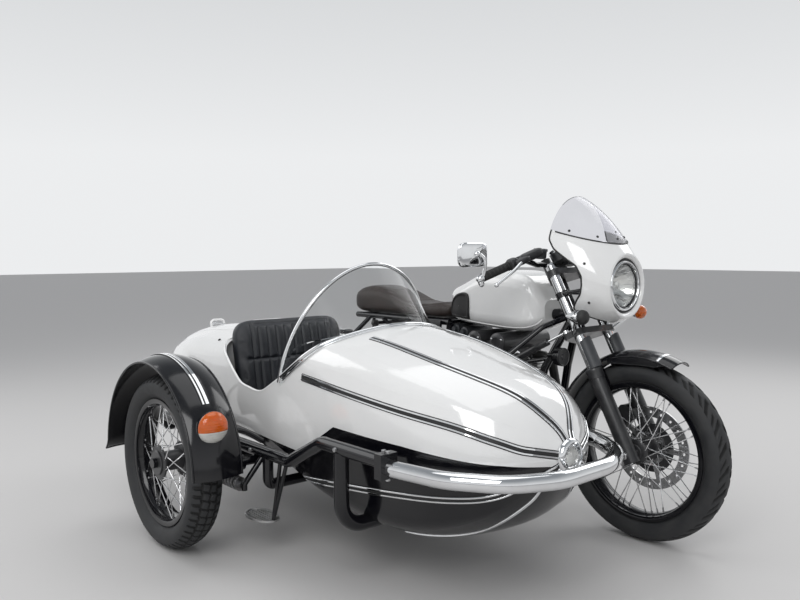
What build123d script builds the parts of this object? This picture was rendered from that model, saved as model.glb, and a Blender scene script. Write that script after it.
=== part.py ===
from build123d import *
import os
from math import atan2, cos, degrees, hypot, pi, radians, sin, sqrt

os.makedirs("parts", exist_ok=True)

# A cafe racer motorcycle with its bolted-on sidecar, in millimetres, X forward, Y left, Z up.
# Pieces are drawn about the motorcycle: X = 0 at the rear axle, Y = 0 at its mid-plane and
# Z = 0 on the ground. to_origin then moves each one to the middle of the whole outfit's floor.
origin_x = 592
origin_y = -464
to_origin = Location((-origin_x, -origin_y, 0))

# Running clearance of a shaft in its bore, seat between pieces that only rest, panel gap.
running_gap = 0.05
seat_gap = 0.3
panel_gap = 4

# Motorcycle: wheels and steering geometry
wheelbase = 1493
rake = 28
trail = 110
front_tyre_radius = 331
front_tyre_width = 100
front_rim_radius = 255
front_rim_width = 76
rear_tyre_radius = 320
rear_tyre_width = 130
rear_rim_radius = 229
rear_rim_width = 92
fork_offset = front_tyre_radius * sin(radians(rake)) - trail * cos(radians(rake))
axle_height = trail * sin(radians(rake)) + front_tyre_radius * cos(radians(rake))

# Sidecar: track, wheel lead and its body's centre plane
side_y = -740
side_wheel_x = 400
side_wheel_y = -1344
side_tyre_radius = 313
side_tyre_width = 120
side_rim_radius = 229
side_rim_width = 84
rail_spread = 390
rail_radius = 22
body_wall = 8

# Steering head: local x forward, y left and z up along the steering axis
steer = Plane(
    origin=(wheelbase + trail, 0, 0),
    x_dir=(cos(radians(rake)), 0, sin(radians(rake))),
    z_dir=(-sin(radians(rake)), 0, cos(radians(rake))),
)


def steer_point(forward, left, height):
    """Gives the place of a point stated in the steering head's own frame."""
    return steer.from_local_coords(Vector(forward, left, height))


def save(part, name):
    """Moves a finished piece to the outfit's origin and writes it."""
    piece = to_origin * part
    piece.label = name
    export_step(piece, f"parts/{name}.step")


def tube(points, radius, bend=60, bore=0):
    """Makes a round tube along straight runs that are joined by arcs."""
    with BuildPart() as piece:
        with BuildLine() as route:
            if len(points) > 2:
                FilletPolyline(*points, radius=bend)
            else:
                Line(*points)
        with BuildSketch(Plane(origin=route.line @ 0, z_dir=route.line % 0)):
            Circle(radius)
            if bore:
                Circle(bore, mode=Mode.SUBTRACT)
        sweep()
    return piece.part


def rod(start, end, radius, bore=0):
    """Makes a straight round bar, or a sleeve when it has a bore."""
    return tube([start, end], radius, bore=bore)


def both_sides(points):
    """Gives a route and its mirror image across the motorcycle's mid-plane."""
    return [points, [(x, -y, z) for x, y, z in points]]


rim_wall = 5


def make_tyre(radius, width, rim, rim_width):
    """Makes a tyre about the Y axis through the origin."""
    wide_radius = rim + 0.42 * (radius - rim)
    shoulder_radius = radius - 0.16 * width
    bead_half = rim_width / 2 - rim_wall - 2 - seat_gap
    bore_radius = rim - 14
    bead_top = rim + 2
    with BuildPart() as tyre:
        with BuildSketch(Plane.XY):
            with BuildLine():
                Polyline(
                    (bead_top, bead_half),
                    (bore_radius, bead_half),
                    (bore_radius, -bead_half),
                    (bead_top, -bead_half),
                )
                ThreePointArc(
                    (bead_top, -bead_half),
                    (wide_radius, -width / 2),
                    (shoulder_radius, -0.43 * width),
                )
                ThreePointArc(
                    (shoulder_radius, -0.43 * width),
                    (radius, 0),
                    (shoulder_radius, 0.43 * width),
                )
                ThreePointArc(
                    (shoulder_radius, 0.43 * width),
                    (wide_radius, width / 2),
                    (bead_top, bead_half),
                )
            make_face()
        revolve(axis=Axis.Y)
    return tyre.part


# Wire wheels: ten spokes a side lean each way, laced from the hub's flanges to the rim's well
spoke_sets = 10
spoke_radius = 2.4
spoke_lean = 42
flange_wall = 7


def make_wire_wheel(rim, rim_width, hub_width, hub_radius, flange_radius, bore):
    """Makes rim, spokes and hub as one piece about the Y axis through the origin."""
    well_radius = rim - 26
    seat_radius = rim - 14 - seat_gap
    half = rim_width / 2
    flange_y = hub_width / 2 - 12
    planes = []
    step = 360 / spoke_sets
    spoke_end = well_radius + 1
    for side in (-1, 1):
        for lean in (-1, 1):
            for k in range(spoke_sets):
                start = radians(k * step + (side + 1) * step / 8 + (lean + 1) * step / 4)
                finish = start + lean * radians(spoke_lean)
                inner = Vector(
                    (flange_radius - 5) * cos(start), side * flange_y, (flange_radius - 5) * sin(start)
                )
                outer = Vector(
                    spoke_end * cos(finish), side * half * 0.25, spoke_end * sin(finish)
                )
                planes.append(Plane(origin=inner, z_dir=outer - inner))
                spoke_length = (outer - inner).length
    with BuildPart() as wheel:
        with BuildSketch(Plane.XY):
            with BuildLine():
                Polyline(
                    (rim, half),
                    (rim, half - rim_wall),
                    (seat_radius, half - rim_wall - 2),
                    (seat_radius, half * 0.5),
                    (well_radius + rim_wall, half * 0.35),
                    (well_radius + rim_wall, -half * 0.35),
                    (seat_radius, -half * 0.5),
                    (seat_radius, -half + rim_wall + 2),
                    (rim, -half + rim_wall),
                    (rim, -half),
                    (seat_radius - rim_wall, -half),
                    (well_radius, -half * 0.4),
                    (well_radius, half * 0.4),
                    (seat_radius - rim_wall, half),
                    close=True,
                )
            make_face()
            with BuildLine():
                Polyline(
                    (bore, -hub_width / 2),
                    (hub_radius, -hub_width / 2),
                    (hub_radius, -flange_y - flange_wall),
                    (flange_radius, -flange_y - flange_wall / 2),
                    (flange_radius, -flange_y + flange_wall / 2),
                    (hub_radius * 0.8, -flange_y + flange_wall),
                    (hub_radius * 0.8, flange_y - flange_wall),
                    (flange_radius, flange_y - flange_wall / 2),
                    (flange_radius, flange_y + flange_wall / 2),
                    (hub_radius, flange_y + flange_wall),
                    (hub_radius, hub_width / 2),
                    (bore, hub_width / 2),
                    close=True,
                )
            make_face()
        revolve(axis=Axis.Y)
        with BuildSketch(*planes):
            RegularPolygon(spoke_radius, 6)
        extrude(amount=spoke_length)
    return wheel.part


# Front wheel, its brake disc and its hollow spindle
front_axle_radius = 12.5
front_axle_bore = 8.5
front_hub_width = 112
leg_spread = 92
slider_radius = 29
front_place = Location((wheelbase, 0, front_tyre_radius))
save(front_place * make_tyre(front_tyre_radius, front_tyre_width, front_rim_radius, front_rim_width), "front_tyre")
front_wheel = make_wire_wheel(
    front_rim_radius, front_rim_width, front_hub_width, 28, 46, front_axle_radius + running_gap
)
save(front_place * front_wheel, "front_wheel")

disc_radius = 155
disc_wall = 5
disc_y = front_hub_width / 2 - 12 + flange_wall + seat_gap
with BuildPart() as brake_disc:
    with BuildSketch(Plane.XZ.offset(-disc_y)):
        Circle(disc_radius)
        Circle(disc_radius - 38, mode=Mode.SUBTRACT)
        with PolarLocations(disc_radius - 58, 5):
            Rectangle(76, 18)
        Circle(62)
        Circle(28 + seat_gap, mode=Mode.SUBTRACT)
        with PolarLocations(disc_radius - 19, 20):
            Circle(5, mode=Mode.SUBTRACT)
    extrude(amount=-disc_wall)
save(front_place * brake_disc.part, "brake_disc")

# Rear wheel with its sprocket on the right
rear_axle_radius = 10
rear_hub_width = 150
rear_place = Location((0, 0, rear_tyre_radius))
save(rear_place * make_tyre(rear_tyre_radius, rear_tyre_width, rear_rim_radius, rear_rim_width), "rear_tyre")
rear_wheel = make_wire_wheel(
    rear_rim_radius, rear_rim_width, rear_hub_width, 45, 66, rear_axle_radius + running_gap
)

sprocket_teeth = 43
chain_pitch = 15.875
sprocket_y = -84
sprocket_wall = 8
rear_pitch_radius = chain_pitch / (2 * sin(pi / sprocket_teeth))
with BuildPart() as rear_sprocket:
    with BuildSketch(Plane.XZ.offset(-sprocket_y - sprocket_wall / 2)):
        Circle(rear_pitch_radius - 7)
        Circle(45 + seat_gap, mode=Mode.SUBTRACT)
    extrude(amount=sprocket_wall)
    with BuildSketch(Plane.XZ.offset(-sprocket_y - sprocket_wall / 2)):
        with PolarLocations(68, 6):
            Circle(12)
    extrude(amount=sprocket_wall, mode=Mode.SUBTRACT)
sprocket_hub_y = -rear_hub_width / 2
with BuildPart() as sprocket_carrier:
    with BuildSketch(Plane.XZ.offset(-sprocket_hub_y)):
        Circle(50)
        Circle(rear_axle_radius + 6, mode=Mode.SUBTRACT)
    extrude(amount=-(sprocket_y + sprocket_wall / 2 - sprocket_hub_y))
with BuildPart() as driven_wheel:
    add(rear_wheel)
    add(rear_sprocket.part)
    add(sprocket_carrier.part)
save(rear_place * driven_wheel.part, "rear_wheel")

# Sidecar wheel
side_axle_radius = 12
side_hub_width = 110
side_place = Location((side_wheel_x, side_wheel_y, side_tyre_radius))
save(side_place * make_tyre(side_tyre_radius, side_tyre_width, side_rim_radius, side_rim_width), "sidecar_tyre")
side_wheel = make_wire_wheel(
    side_rim_radius, side_rim_width, side_hub_width, 45, 62, side_axle_radius + running_gap
)
save(side_place * side_wheel, "sidecar_wheel")

# Steering head and fork, by their heights along the steering axis
stem_radius = 15
head_radius = 30
stanchion_radius = 20.5
lower_yoke_low = 812
yoke_wall = 24
lower_yoke_top = lower_yoke_low + yoke_wall
upper_yoke_low = 1065
upper_yoke_top = upper_yoke_low + yoke_wall
stanchion_top = 1104
slider_top = 664
slider_low = axle_height - 34
legs = [(fork_offset, leg_spread), (fork_offset, -leg_spread)]

# The steering damper lies at right angles to the steering axis, just over the lower yoke
damper_eye = (25, -118)
damper_pivot = (-237, -140)
damper_height = lower_yoke_top + 6
damper_length = hypot(damper_eye[0] - damper_pivot[0], damper_eye[1] - damper_pivot[1])
damper_body_length = 172
damper_rod_length = 176
damper_body_radius = 13
damper_rod_radius = 5
damper_pin_radius = 5

bar_place = (1078, 1012)
riser_spread = 45
bar_radius = 11
riser_forward = (bar_place[0] - wheelbase - trail) * cos(radians(rake)) + bar_place[1] * sin(
    radians(rake)
)
riser_top = (wheelbase + trail - bar_place[0]) * sin(radians(rake)) + bar_place[1] * cos(
    radians(rake)
)
bar_outline = [
    (1046, 385, 968),
    (1088, 205, 1034),
    (bar_place[0], 110, bar_place[1]),
    (bar_place[0], -110, bar_place[1]),
    (1088, -205, 1034),
    (1046, -385, 968),
]
bar_tube = tube(bar_outline, bar_radius, bend=45)

bar_hole = rod((bar_place[0], -80, bar_place[1]), (bar_place[0], 80, bar_place[1]), bar_radius + seat_gap)

with BuildPart() as fork_yokes:
    for low in (lower_yoke_low, upper_yoke_low):
        with BuildSketch(steer.offset(low)) as outline:
            with Locations(*legs):
                Circle(29)
            Circle(34)
            if low == lower_yoke_low:
                with Locations(damper_eye):
                    Circle(14)
            make_hull()
            with Locations(*legs):
                Circle(stanchion_radius + running_gap, mode=Mode.SUBTRACT)
        extrude(amount=yoke_wall)
    with BuildSketch(steer.offset(lower_yoke_top)):
        Circle(stem_radius)
    extrude(amount=upper_yoke_low - lower_yoke_top)
    with BuildSketch(steer.offset(upper_yoke_top)):
        with Locations((riser_forward, riser_spread), (riser_forward, -riser_spread)):
            Circle(19)
    extrude(amount=riser_top - upper_yoke_top + 20)
    add(bar_hole, mode=Mode.SUBTRACT)
save(fork_yokes.part, "fork_yokes")

with BuildPart() as stanchions:
    with BuildSketch(steer.offset(slider_top)):
        with Locations(*legs):
            Circle(stanchion_radius)
    extrude(amount=stanchion_top - slider_top)
save(stanchions.part, "stanchions")

front_axle_tube = rod(
    (wheelbase, -leg_spread - 34, front_tyre_radius),
    (wheelbase, leg_spread + 34, front_tyre_radius),
    front_axle_radius,
    bore=front_axle_bore,
)
axle_hole = rod(
    (wheelbase, -leg_spread - 60, front_tyre_radius),
    (wheelbase, leg_spread + 60, front_tyre_radius),
    front_axle_radius + running_gap,
)
save(front_axle_tube, "front_axle")

with BuildPart() as sliders:
    with BuildSketch(steer.offset(slider_low)):
        with Locations(*legs):
            Circle(slider_radius)
    extrude(amount=slider_top - slider_low)
    add(axle_hole, mode=Mode.SUBTRACT)
save(sliders.part, "fork_sliders")

save(bar_tube, "handlebar")


def make_guard(centre, crest, edge, half_width, wall, start, sweep_arc):
    """Makes a crowned mudguard strip round an axle, from a start angle above +X."""
    x_dir = (cos(radians(start)), 0, sin(radians(start)))
    z_dir = (-sin(radians(start)), 0, cos(radians(start)))
    with BuildPart() as guard:
        with BuildSketch(Plane(origin=centre, x_dir=x_dir, z_dir=z_dir)):
            with BuildLine():
                ThreePointArc((edge, half_width), (crest, 0), (edge, -half_width))
                Line((edge, -half_width), (edge - wall, -half_width + wall))
                ThreePointArc(
                    (edge - wall, -half_width + wall),
                    (crest - wall, 0),
                    (edge - wall, half_width - wall),
                )
                Line((edge - wall, half_width - wall), (edge, half_width))
            make_face()
        revolve(axis=Axis(centre, (0, -1, 0)), revolution_arc=sweep_arc)
    return guard.part


# Front mudguard, hung between the sliders by two side plates
front_guard_crest = 374
front_guard_edge = 352
front_guard_half = 60
guard_wall = 3
stay_wall = 3
stay_y = leg_spread - slider_radius - seat_gap - stay_wall
front_guard_shell = make_guard(
    (wheelbase, 0, front_tyre_radius), front_guard_crest, front_guard_edge, front_guard_half,
    guard_wall, 66, 98,
)
leg_plane = Plane(
    origin=(wheelbase, 0, front_tyre_radius),
    x_dir=(-sin(radians(rake)), 0, cos(radians(rake))),
    z_dir=(0, 1, 0),
)
with BuildPart() as front_mudguard:
    add(front_guard_shell)
    with BuildSketch(leg_plane.offset(stay_y), leg_plane.offset(-stay_y - stay_wall)):
        with Locations((305, 0)):
            Rectangle(104, 46)
    extrude(amount=stay_wall)
save(front_mudguard.part, "front_mudguard")

# Brake caliper, straddling the disc behind the left leg
caliper_gap = 5
caliper_angle = 142
caliper_radius = disc_radius - 1
caliper_plane = Plane(
    origin=(
        wheelbase + caliper_radius * cos(radians(caliper_angle)),
        disc_y + disc_wall / 2,
        front_tyre_radius + caliper_radius * sin(radians(caliper_angle)),
    ),
    x_dir=(cos(radians(caliper_angle)), 0, sin(radians(caliper_angle))),
    z_dir=(0, 1, 0),
)
with BuildPart() as front_caliper:
    with BuildSketch(caliper_plane.offset(-17)):
        RectangleRounded(64, 104, 18)
    extrude(amount=50)
    with BuildSketch(caliper_plane.offset(-disc_wall / 2 - caliper_gap)):
        with Locations((-20, 0)):
            Rectangle(70, 140)
    extrude(amount=disc_wall + 2 * caliper_gap, mode=Mode.SUBTRACT)
    add(sliders.part, mode=Mode.SUBTRACT)
save(front_caliper.part, "front_caliper")

# Grips, bar-end mirrors and levers
grip_length = 128
grip_radius = 16.5
lever_ball = 9
hand_parts = {"grips": [], "levers": [], "mirrors": []}
for side in (1, -1):
    bar_end = Vector(1046, side * 385, 968)
    bar_inner = Vector(1088, side * 205, 1034)
    out = (bar_end - bar_inner).normalized()
    hand_parts["grips"].append(rod(bar_end - out * grip_length, bar_end, grip_radius, bar_radius + seat_gap))
    clamp = bar_end - out * (grip_length + 26)
    ring = rod(clamp, clamp + out * 22, 17, bar_radius + seat_gap)
    pivot = clamp + Vector(34, 0, 4)
    ball = Vector(1103, side * 372, 941)
    arm = rod(clamp + Vector(13, 0, 2) + out * 11, pivot + out * 11, 9)
    blade = rod(pivot + out * 11, ball, 6)
    with BuildPart() as lever:
        add(ring)
        add(arm)
        add(blade)
        with Locations(ball):
            Sphere(lever_ball)
        add(rod(clamp - out * 5, clamp + out * 30, bar_radius + seat_gap), mode=Mode.SUBTRACT)
    hand_parts["levers"].append(lever.part)
    stalk = tube([bar_end + out * seat_gap, bar_end + out * 26, Vector(1037, side * 432, 1012)], 6, bend=14)
    with BuildPart() as mirror:
        with BuildSketch(Plane(origin=(1026, side * 430, 1053), x_dir=(0, 1, 0), z_dir=(1, 0, 0.12))):
            RectangleRounded(146, 92, 30)
        extrude(amount=24, taper=8)
        add(stalk)
    hand_parts["mirrors"].append(mirror.part)
for name, parts in hand_parts.items():
    save(Compound(children=parts), name)


def lens_arc(edge, tip):
    """Draws half a lens from its edge to its tip, square to the axis at the tip."""
    rise = edge[1] - tip[1]
    depth = tip[0] - edge[0]
    curve = (rise * rise + depth * depth) / (2 * depth)
    middle = rise / 2
    return ThreePointArc(edge, (tip[0] - curve + sqrt(curve * curve - middle * middle), tip[1] + middle), tip)


# Headlamp in the fairing's round mouth
lamp_place = (1382, 0, 936)
lamp_radius = 97
with BuildPart() as headlamp:
    with BuildSketch(Plane.XZ):
        with BuildLine():
            Polyline(
                (lamp_place[0] - 105, lamp_place[2]),
                (lamp_place[0] - 105, lamp_place[2] + 40),
                (lamp_place[0] - 60, lamp_place[2] + 84),
                (lamp_place[0] - 12, lamp_place[2] + lamp_radius - 4),
                (lamp_place[0] - 12, lamp_place[2] + lamp_radius),
                (lamp_place[0] + 18, lamp_place[2] + lamp_radius),
                (lamp_place[0] + 22, lamp_place[2] + lamp_radius - 10),
            )
            lens_arc((lamp_place[0] + 22, lamp_place[2] + lamp_radius - 10), (lamp_place[0] + 38, lamp_place[2]))
            Line((lamp_place[0] + 38, lamp_place[2]), (lamp_place[0] - 105, lamp_place[2]))
        make_face()
    revolve(axis=Axis(lamp_place, (1, 0, 0)))
save(headlamp.part, "headlamp")

# Half fairing and screen are one dome: columns x, half width, middle height, half height
fairing_wall = 4
screen_wall = 3.5
dome_sections = [
    (1150, 205, 1030, 272),
    (1215, 200, 1018, 250),
    (1300, 184, 988, 208),
    (1370, 152, 955, 160),
    (1418, 116, 936, 122),
]


def make_dome(inset):
    """Lofts the fairing's dome, or its hollow when an inset is given."""
    with BuildPart() as dome:
        for x, half_width, middle, half_height in dome_sections:
            with BuildSketch(Plane.YZ.offset(x)):
                with Locations((0, middle)):
                    Ellipse(half_width - inset, half_height - inset)
        loft()
    return dome.part


def side_cutter(points, half=900, middle=0):
    """Makes a wide block from a closed side-view outline in X and Z."""
    with BuildPart() as block:
        with BuildSketch(Plane.XZ.offset(-middle - half)):
            with BuildLine():
                Polyline(*points, close=True)
            make_face()
        extrude(amount=2 * half)
    return block.part


screen_front = (1440, 1078)
screen_rear = (1150, 1160)
fairing_region = side_cutter([
    (1196, 1148), (1440, 1078), (1440, 700), (1385, 785), (1347, 809), (1314, 824), (1284, 836), (1276, 850),
    (1293, 872), (1323, 907), (1332, 940), (1332, 973), (1312, 1012), (1264, 1045), (1222, 1075), (1196, 1110),
])
screen_region = side_cutter([(1196, 1148), (1196, 1300), (1440, 1300), (1440, 1079)])
lamp_hole = rod((1300, 0, lamp_place[2]), (1450, 0, lamp_place[2]), lamp_radius + seat_gap)
dome_outer = make_dome(0)
with BuildPart() as fairing:
    add(dome_outer)
    add(make_dome(fairing_wall), mode=Mode.SUBTRACT)
    add(fairing_region, mode=Mode.INTERSECT)
    add(lamp_hole, mode=Mode.SUBTRACT)
save(fairing.part, "fairing")

with BuildPart() as fairing_screen:
    add(dome_outer)
    add(make_dome(screen_wall), mode=Mode.SUBTRACT)
    add(screen_region, mode=Mode.INTERSECT)
save(fairing_screen.part, "fairing_screen")

bracket_height = 972
with BuildPart() as fairing_bracket:
    with BuildSketch(steer.offset(bracket_height)):
        with Locations(*legs):
            Circle(27)
            Circle(stanchion_radius + running_gap, mode=Mode.SUBTRACT)
    extrude(amount=22)
    for side in (1, -1):
        foot = steer_point(fork_offset + 22, side * (leg_spread + 21), bracket_height + 11)
        add(rod(foot, (1336, side * 162, 924), 6))
        add(rod(foot, (1345, side * 74, lamp_place[2] - 30), 5))
    add(fairing.part, mode=Mode.SUBTRACT)
    add(headlamp.part, mode=Mode.SUBTRACT)
bracket_solids = fairing_bracket.part.solids().filter_by(lambda solid: solid.volume > 1000)
save(Compound(children=list(bracket_solids)), "fairing_bracket")

gauge_radius = 42
gauge_forward = fork_offset + 34
with BuildPart() as gauges:
    with BuildSketch(steer.offset(stanchion_top + seat_gap)):
        with Locations((fork_offset, 76), (fork_offset, -76), (gauge_forward, 50), (gauge_forward, -50)):
            Circle(16)
        make_hull()
    extrude(amount=5)
    with BuildSketch(steer.offset(stanchion_top + seat_gap + 5)):
        with Locations((gauge_forward, 50), (gauge_forward, -50)):
            Circle(gauge_radius)
    extrude(amount=52)
save(gauges.part, "gauges")

indicator_place = (1345, 190, 825)
indicator_parts = []
for side in (1, -1):
    place = Vector(indicator_place[0], side * indicator_place[1], indicator_place[2])
    root = steer_point(fork_offset, side * (leg_spread + 29), lower_yoke_low + 12)
    with BuildPart() as indicator:
        with BuildSketch(Plane(origin=place - Vector(34, 0, 0), z_dir=(1, 0, 0))):
            Circle(12)
        with BuildSketch(Plane(origin=place - Vector(12, 0, 0), z_dir=(1, 0, 0))):
            Circle(27)
        with BuildSketch(Plane(origin=place + Vector(22, 0, 0), z_dir=(1, 0, 0))):
            Circle(29)
        with BuildSketch(Plane(origin=place + Vector(34, 0, 0), z_dir=(1, 0, 0))):
            Circle(18)
        loft(ruled=True)
        add(rod(root, place, 6))
        add(fork_yokes.part, mode=Mode.SUBTRACT)
    indicator_parts.append(indicator.part)
save(Compound(children=indicator_parts), "front_indicators")

# Motorcycle frame: head tube, backbone, twin cradle, seat rails and cross tubes
frame_tube = 16
seat_tube = 14
backbone_radius = 22
cradle_y = 110
upright_y = 52
pivot_place = (520, 368)
seat_rail_z = 750
backbone = [(1150, 0, 818), (556, 0, 752)]
frame_routes = [
    (backbone, backbone_radius),
    ([(-80, -95, seat_rail_z), (-80, 95, seat_rail_z)], 11),
    ([(560, -95, seat_rail_z), (560, 95, seat_rail_z)], 11),
    ([(110, -162, seat_rail_z - 30), (110, 162, seat_rail_z - 30)], 8),
    ([(960, -cradle_y, 225), (960, cradle_y, 225)], 12),
    ([(pivot_place[0], -128, pivot_place[1]), (pivot_place[0], 128, pivot_place[1])], 9),
    ([(-80, 0, seat_rail_z), (-80, 0, 669.6)], 9),
]
for route in both_sides([(1184, 22, 800), (1095, 75, 600), (1010, cradle_y, 225), (650, cradle_y, 225),
                         (545, upright_y, 225), (520, upright_y, 320), (520, upright_y, 500),
                         (573, 92, seat_rail_z - 5)]):
    frame_routes.append((route, frame_tube))
for route in both_sides([(575, 95, seat_rail_z), (-92, 95, seat_rail_z)]):
    frame_routes.append((route, seat_tube))
for route in both_sides([(520, upright_y, 470), (110, 93, 738)]):
    frame_routes.append((route, 10))
frame_tubes = [tube(route, radius, bend=40) for route, radius in frame_routes]
pivot_world = steer_point(damper_pivot[0], damper_pivot[1], damper_height)
damper_lug = tube(
    [(1112, -66, 640), (pivot_world.X + 6, pivot_world.Y, pivot_world.Z - 16)], 8
)
with BuildPart() as main_frame:
    with BuildSketch(steer.offset(lower_yoke_top + seat_gap)):
        Circle(head_radius)
    extrude(amount=upper_yoke_low - lower_yoke_top - 2 * seat_gap)
    for piece in frame_tubes:
        add(piece)
    add(damper_lug)
    with BuildSketch(steer.offset(damper_height - 22)):
        with Locations(damper_pivot):
            Circle(12)
    extrude(amount=15)
    with BuildSketch(steer.offset(damper_height - 22)):
        with Locations(damper_pivot):
            Circle(damper_pin_radius)
    extrude(amount=32)
    with BuildSketch(steer.offset(lower_yoke_low)):
        Circle(stem_radius + running_gap)
    extrude(amount=upper_yoke_top - lower_yoke_low, mode=Mode.SUBTRACT)
save(main_frame.part, "main_frame")

# Damper: local x runs from its pivot towards the eye
damper_angle = degrees(atan2(damper_eye[1] - damper_pivot[1], damper_eye[0] - damper_pivot[0]))
damper_dir = Vector(
    damper_eye[0] - damper_pivot[0], damper_eye[1] - damper_pivot[1], 0
).normalized()


def damper_point(distance):
    """Gives a point on the damper's line, measured from its pivot."""
    return steer_point(
        damper_pivot[0] + damper_dir.X * distance, damper_pivot[1] + damper_dir.Y * distance, damper_height
    )


with BuildPart() as damper_body:
    with BuildSketch(steer.offset(damper_height - 6)):
        with Locations(damper_pivot):
            Circle(12)
    extrude(amount=12)
    add(rod(damper_point(6), damper_point(damper_body_length), damper_body_radius))
    with BuildSketch(steer.offset(damper_height - 40)):
        with Locations(damper_pivot):
            Circle(damper_pin_radius + running_gap)
    extrude(amount=80, mode=Mode.SUBTRACT)
    add(
        rod(damper_point(18), damper_point(damper_body_length + 1), damper_rod_radius + running_gap),
        mode=Mode.SUBTRACT,
    )
    with BuildSketch(steer.offset(damper_height - 40)):
        with Locations(damper_pivot):
            Circle(15)
    extrude(amount=33.7, mode=Mode.SUBTRACT)
save(damper_body.part, "damper_body")

with BuildPart() as damper_rod:
    add(rod(damper_point(damper_length - damper_rod_length), damper_point(damper_length), damper_rod_radius))
    with BuildSketch(steer.offset(damper_height - 6 + seat_gap)):
        with Locations(damper_eye):
            Circle(12)
    extrude(amount=12)
save(damper_rod.part, "damper_rod")

# Engine: crankcase with its covers, finned barrels, head with two cam boxes
crank_half = 130
gearbox_half = 68
crank_outline = [(930, 246), (975, 300), (975, 430), (930, 470), (690, 470), (690, 246)]
gearbox_outline = [(700, 246), (700, 500), (620, 500), (570, 460), (570, 300), (610, 246)]
crank_block = side_cutter(crank_outline, half=crank_half)
gearbox_block = side_cutter(gearbox_outline, half=gearbox_half)
with BuildPart() as crankcase:
    add(crank_block)
    add(gearbox_block)
    with BuildSketch(Plane.XZ.offset(crank_half)):
        with Locations((800, 350)):
            Circle(98)
    extrude(amount=44, taper=6)
    with BuildSketch(Plane.XZ.offset(-crank_half)):
        with Locations((830, 350)):
            Circle(94)
    extrude(amount=-40, taper=6)
    add(main_frame.part, mode=Mode.SUBTRACT)
save(crankcase.part, "crankcase")

barrel_x = 840
barrel_low = 470
fin_pitch = 15
fin_wall = 4
fin_count = 8
head_low = barrel_low + fin_count * fin_pitch
with BuildPart() as cylinders:
    with BuildSketch(Plane.XY.offset(barrel_low + seat_gap)):
        with Locations((barrel_x, 0)):
            RectangleRounded(150, 240, 30)
    extrude(amount=head_low - barrel_low - seat_gap)
    for k in range(fin_count):
        with BuildSketch(Plane.XY.offset(barrel_low + k * fin_pitch + 6)):
            with Locations((barrel_x, 0)):
                RectangleRounded(196, 290, 26)
        extrude(amount=fin_wall)
save(cylinders.part, "cylinders")

cam_radius = 41
cam_height = 690
cam_spread = 64
with BuildPart() as cylinder_head:
    with BuildSketch(Plane.XY.offset(head_low + seat_gap)):
        with Locations((barrel_x, 0)):
            RectangleRounded(180, 250, 30)
    extrude(amount=cam_height - head_low - seat_gap)
    for k in range(3):
        with BuildSketch(Plane.XY.offset(head_low + k * fin_pitch + 10)):
            with Locations((barrel_x, 0)):
                RectangleRounded(208, 290, 26)
        extrude(amount=fin_wall)
    with BuildSketch(Plane.XZ.offset(-145)):
        with Locations((barrel_x - cam_spread, cam_height), (barrel_x + cam_spread, cam_height)):
            Circle(cam_radius)
    extrude(amount=290)
save(cylinder_head.part, "cylinder_head")

with BuildPart() as carburettors:
    for side in (1, -1):
        with BuildSketch(Plane.YZ.offset(barrel_x - 90 - seat_gap)):
            with Locations((side * 62, 622)):
                Circle(26)
        extrude(amount=-90)
        with BuildSketch(Plane.XY.offset(585)):
            with Locations((barrel_x - 145, side * 62)):
                Circle(34)
        extrude(amount=84)
    with BuildSketch(Plane.YZ.offset(barrel_x - 180)):
        with Locations((0, 622)):
            RectangleRounded(190, 96, 20)
    extrude(amount=-60)
    add(cylinder_head.part, mode=Mode.SUBTRACT)
    add(main_frame.part, mode=Mode.SUBTRACT)
save(carburettors.part, "carburettors")

# Exhausts: a header down each side of the front and a long silencer
header_radius = 19
silencer_sections = [(0, 19), (120, 42), (560, 46), (640, 33)]
exhaust_parts = []
for side in (1, -1):
    header = tube(
        [
            (barrel_x + 90 + seat_gap, side * 62, 625),
            (1012, side * 70, 625),
            (1012, side * 150, 350),
            (955, side * 160, 203),
            (600, side * 172, 203),
            (470, side * 210, 240),
        ],
        header_radius,
        bend=45,
    )
    silencer_dir = Vector(-630, 0, 60)
    silencer_start = Vector(478, side * 208, 238)
    with BuildPart() as exhaust:
        for distance, radius in silencer_sections:
            with BuildSketch(
                Plane(origin=silencer_start + silencer_dir.normalized() * distance, z_dir=silencer_dir)
            ):
                Circle(radius)
        loft(ruled=True)
        add(header)
        add(cylinder_head.part, mode=Mode.SUBTRACT)
    exhaust_parts.append(exhaust.part)
save(Compound(children=exhaust_parts), "exhausts")

# Fuel tank: columns x, half width, low edge, top, corner radius
tank_sections = [
    (562, 70, 792, 860, 28),
    (610, 112, 768, 908, 44),
    (740, 130, 750, 962, 58),
    (870, 134, 742, 986, 62),
    (975, 128, 740, 978, 58),
    (1030, 114, 746, 950, 50),
    (1064, 96, 760, 904, 42),
    (1086, 68, 782, 868, 30),
]
spine_rear = Vector(*backbone[1])
spine = Vector(*backbone[0]) - spine_rear
with BuildPart() as fuel_tank:
    for x, half_width, low, top, corner in tank_sections:
        with BuildSketch(Plane.YZ.offset(x)):
            with Locations((0, (low + top) / 2)):
                RectangleRounded(2 * half_width, top - low, corner)
    loft()
    add(rod(spine_rear - spine * 0.1, spine_rear + spine * 1.1, backbone_radius + seat_gap), mode=Mode.SUBTRACT)
    with BuildSketch(Plane.XY.offset(700)):
        with Locations((800, 0)):
            Rectangle(600, 2 * (backbone_radius + seat_gap))
    extrude(amount=70, mode=Mode.SUBTRACT)
save(fuel_tank.part, "fuel_tank")

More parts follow.
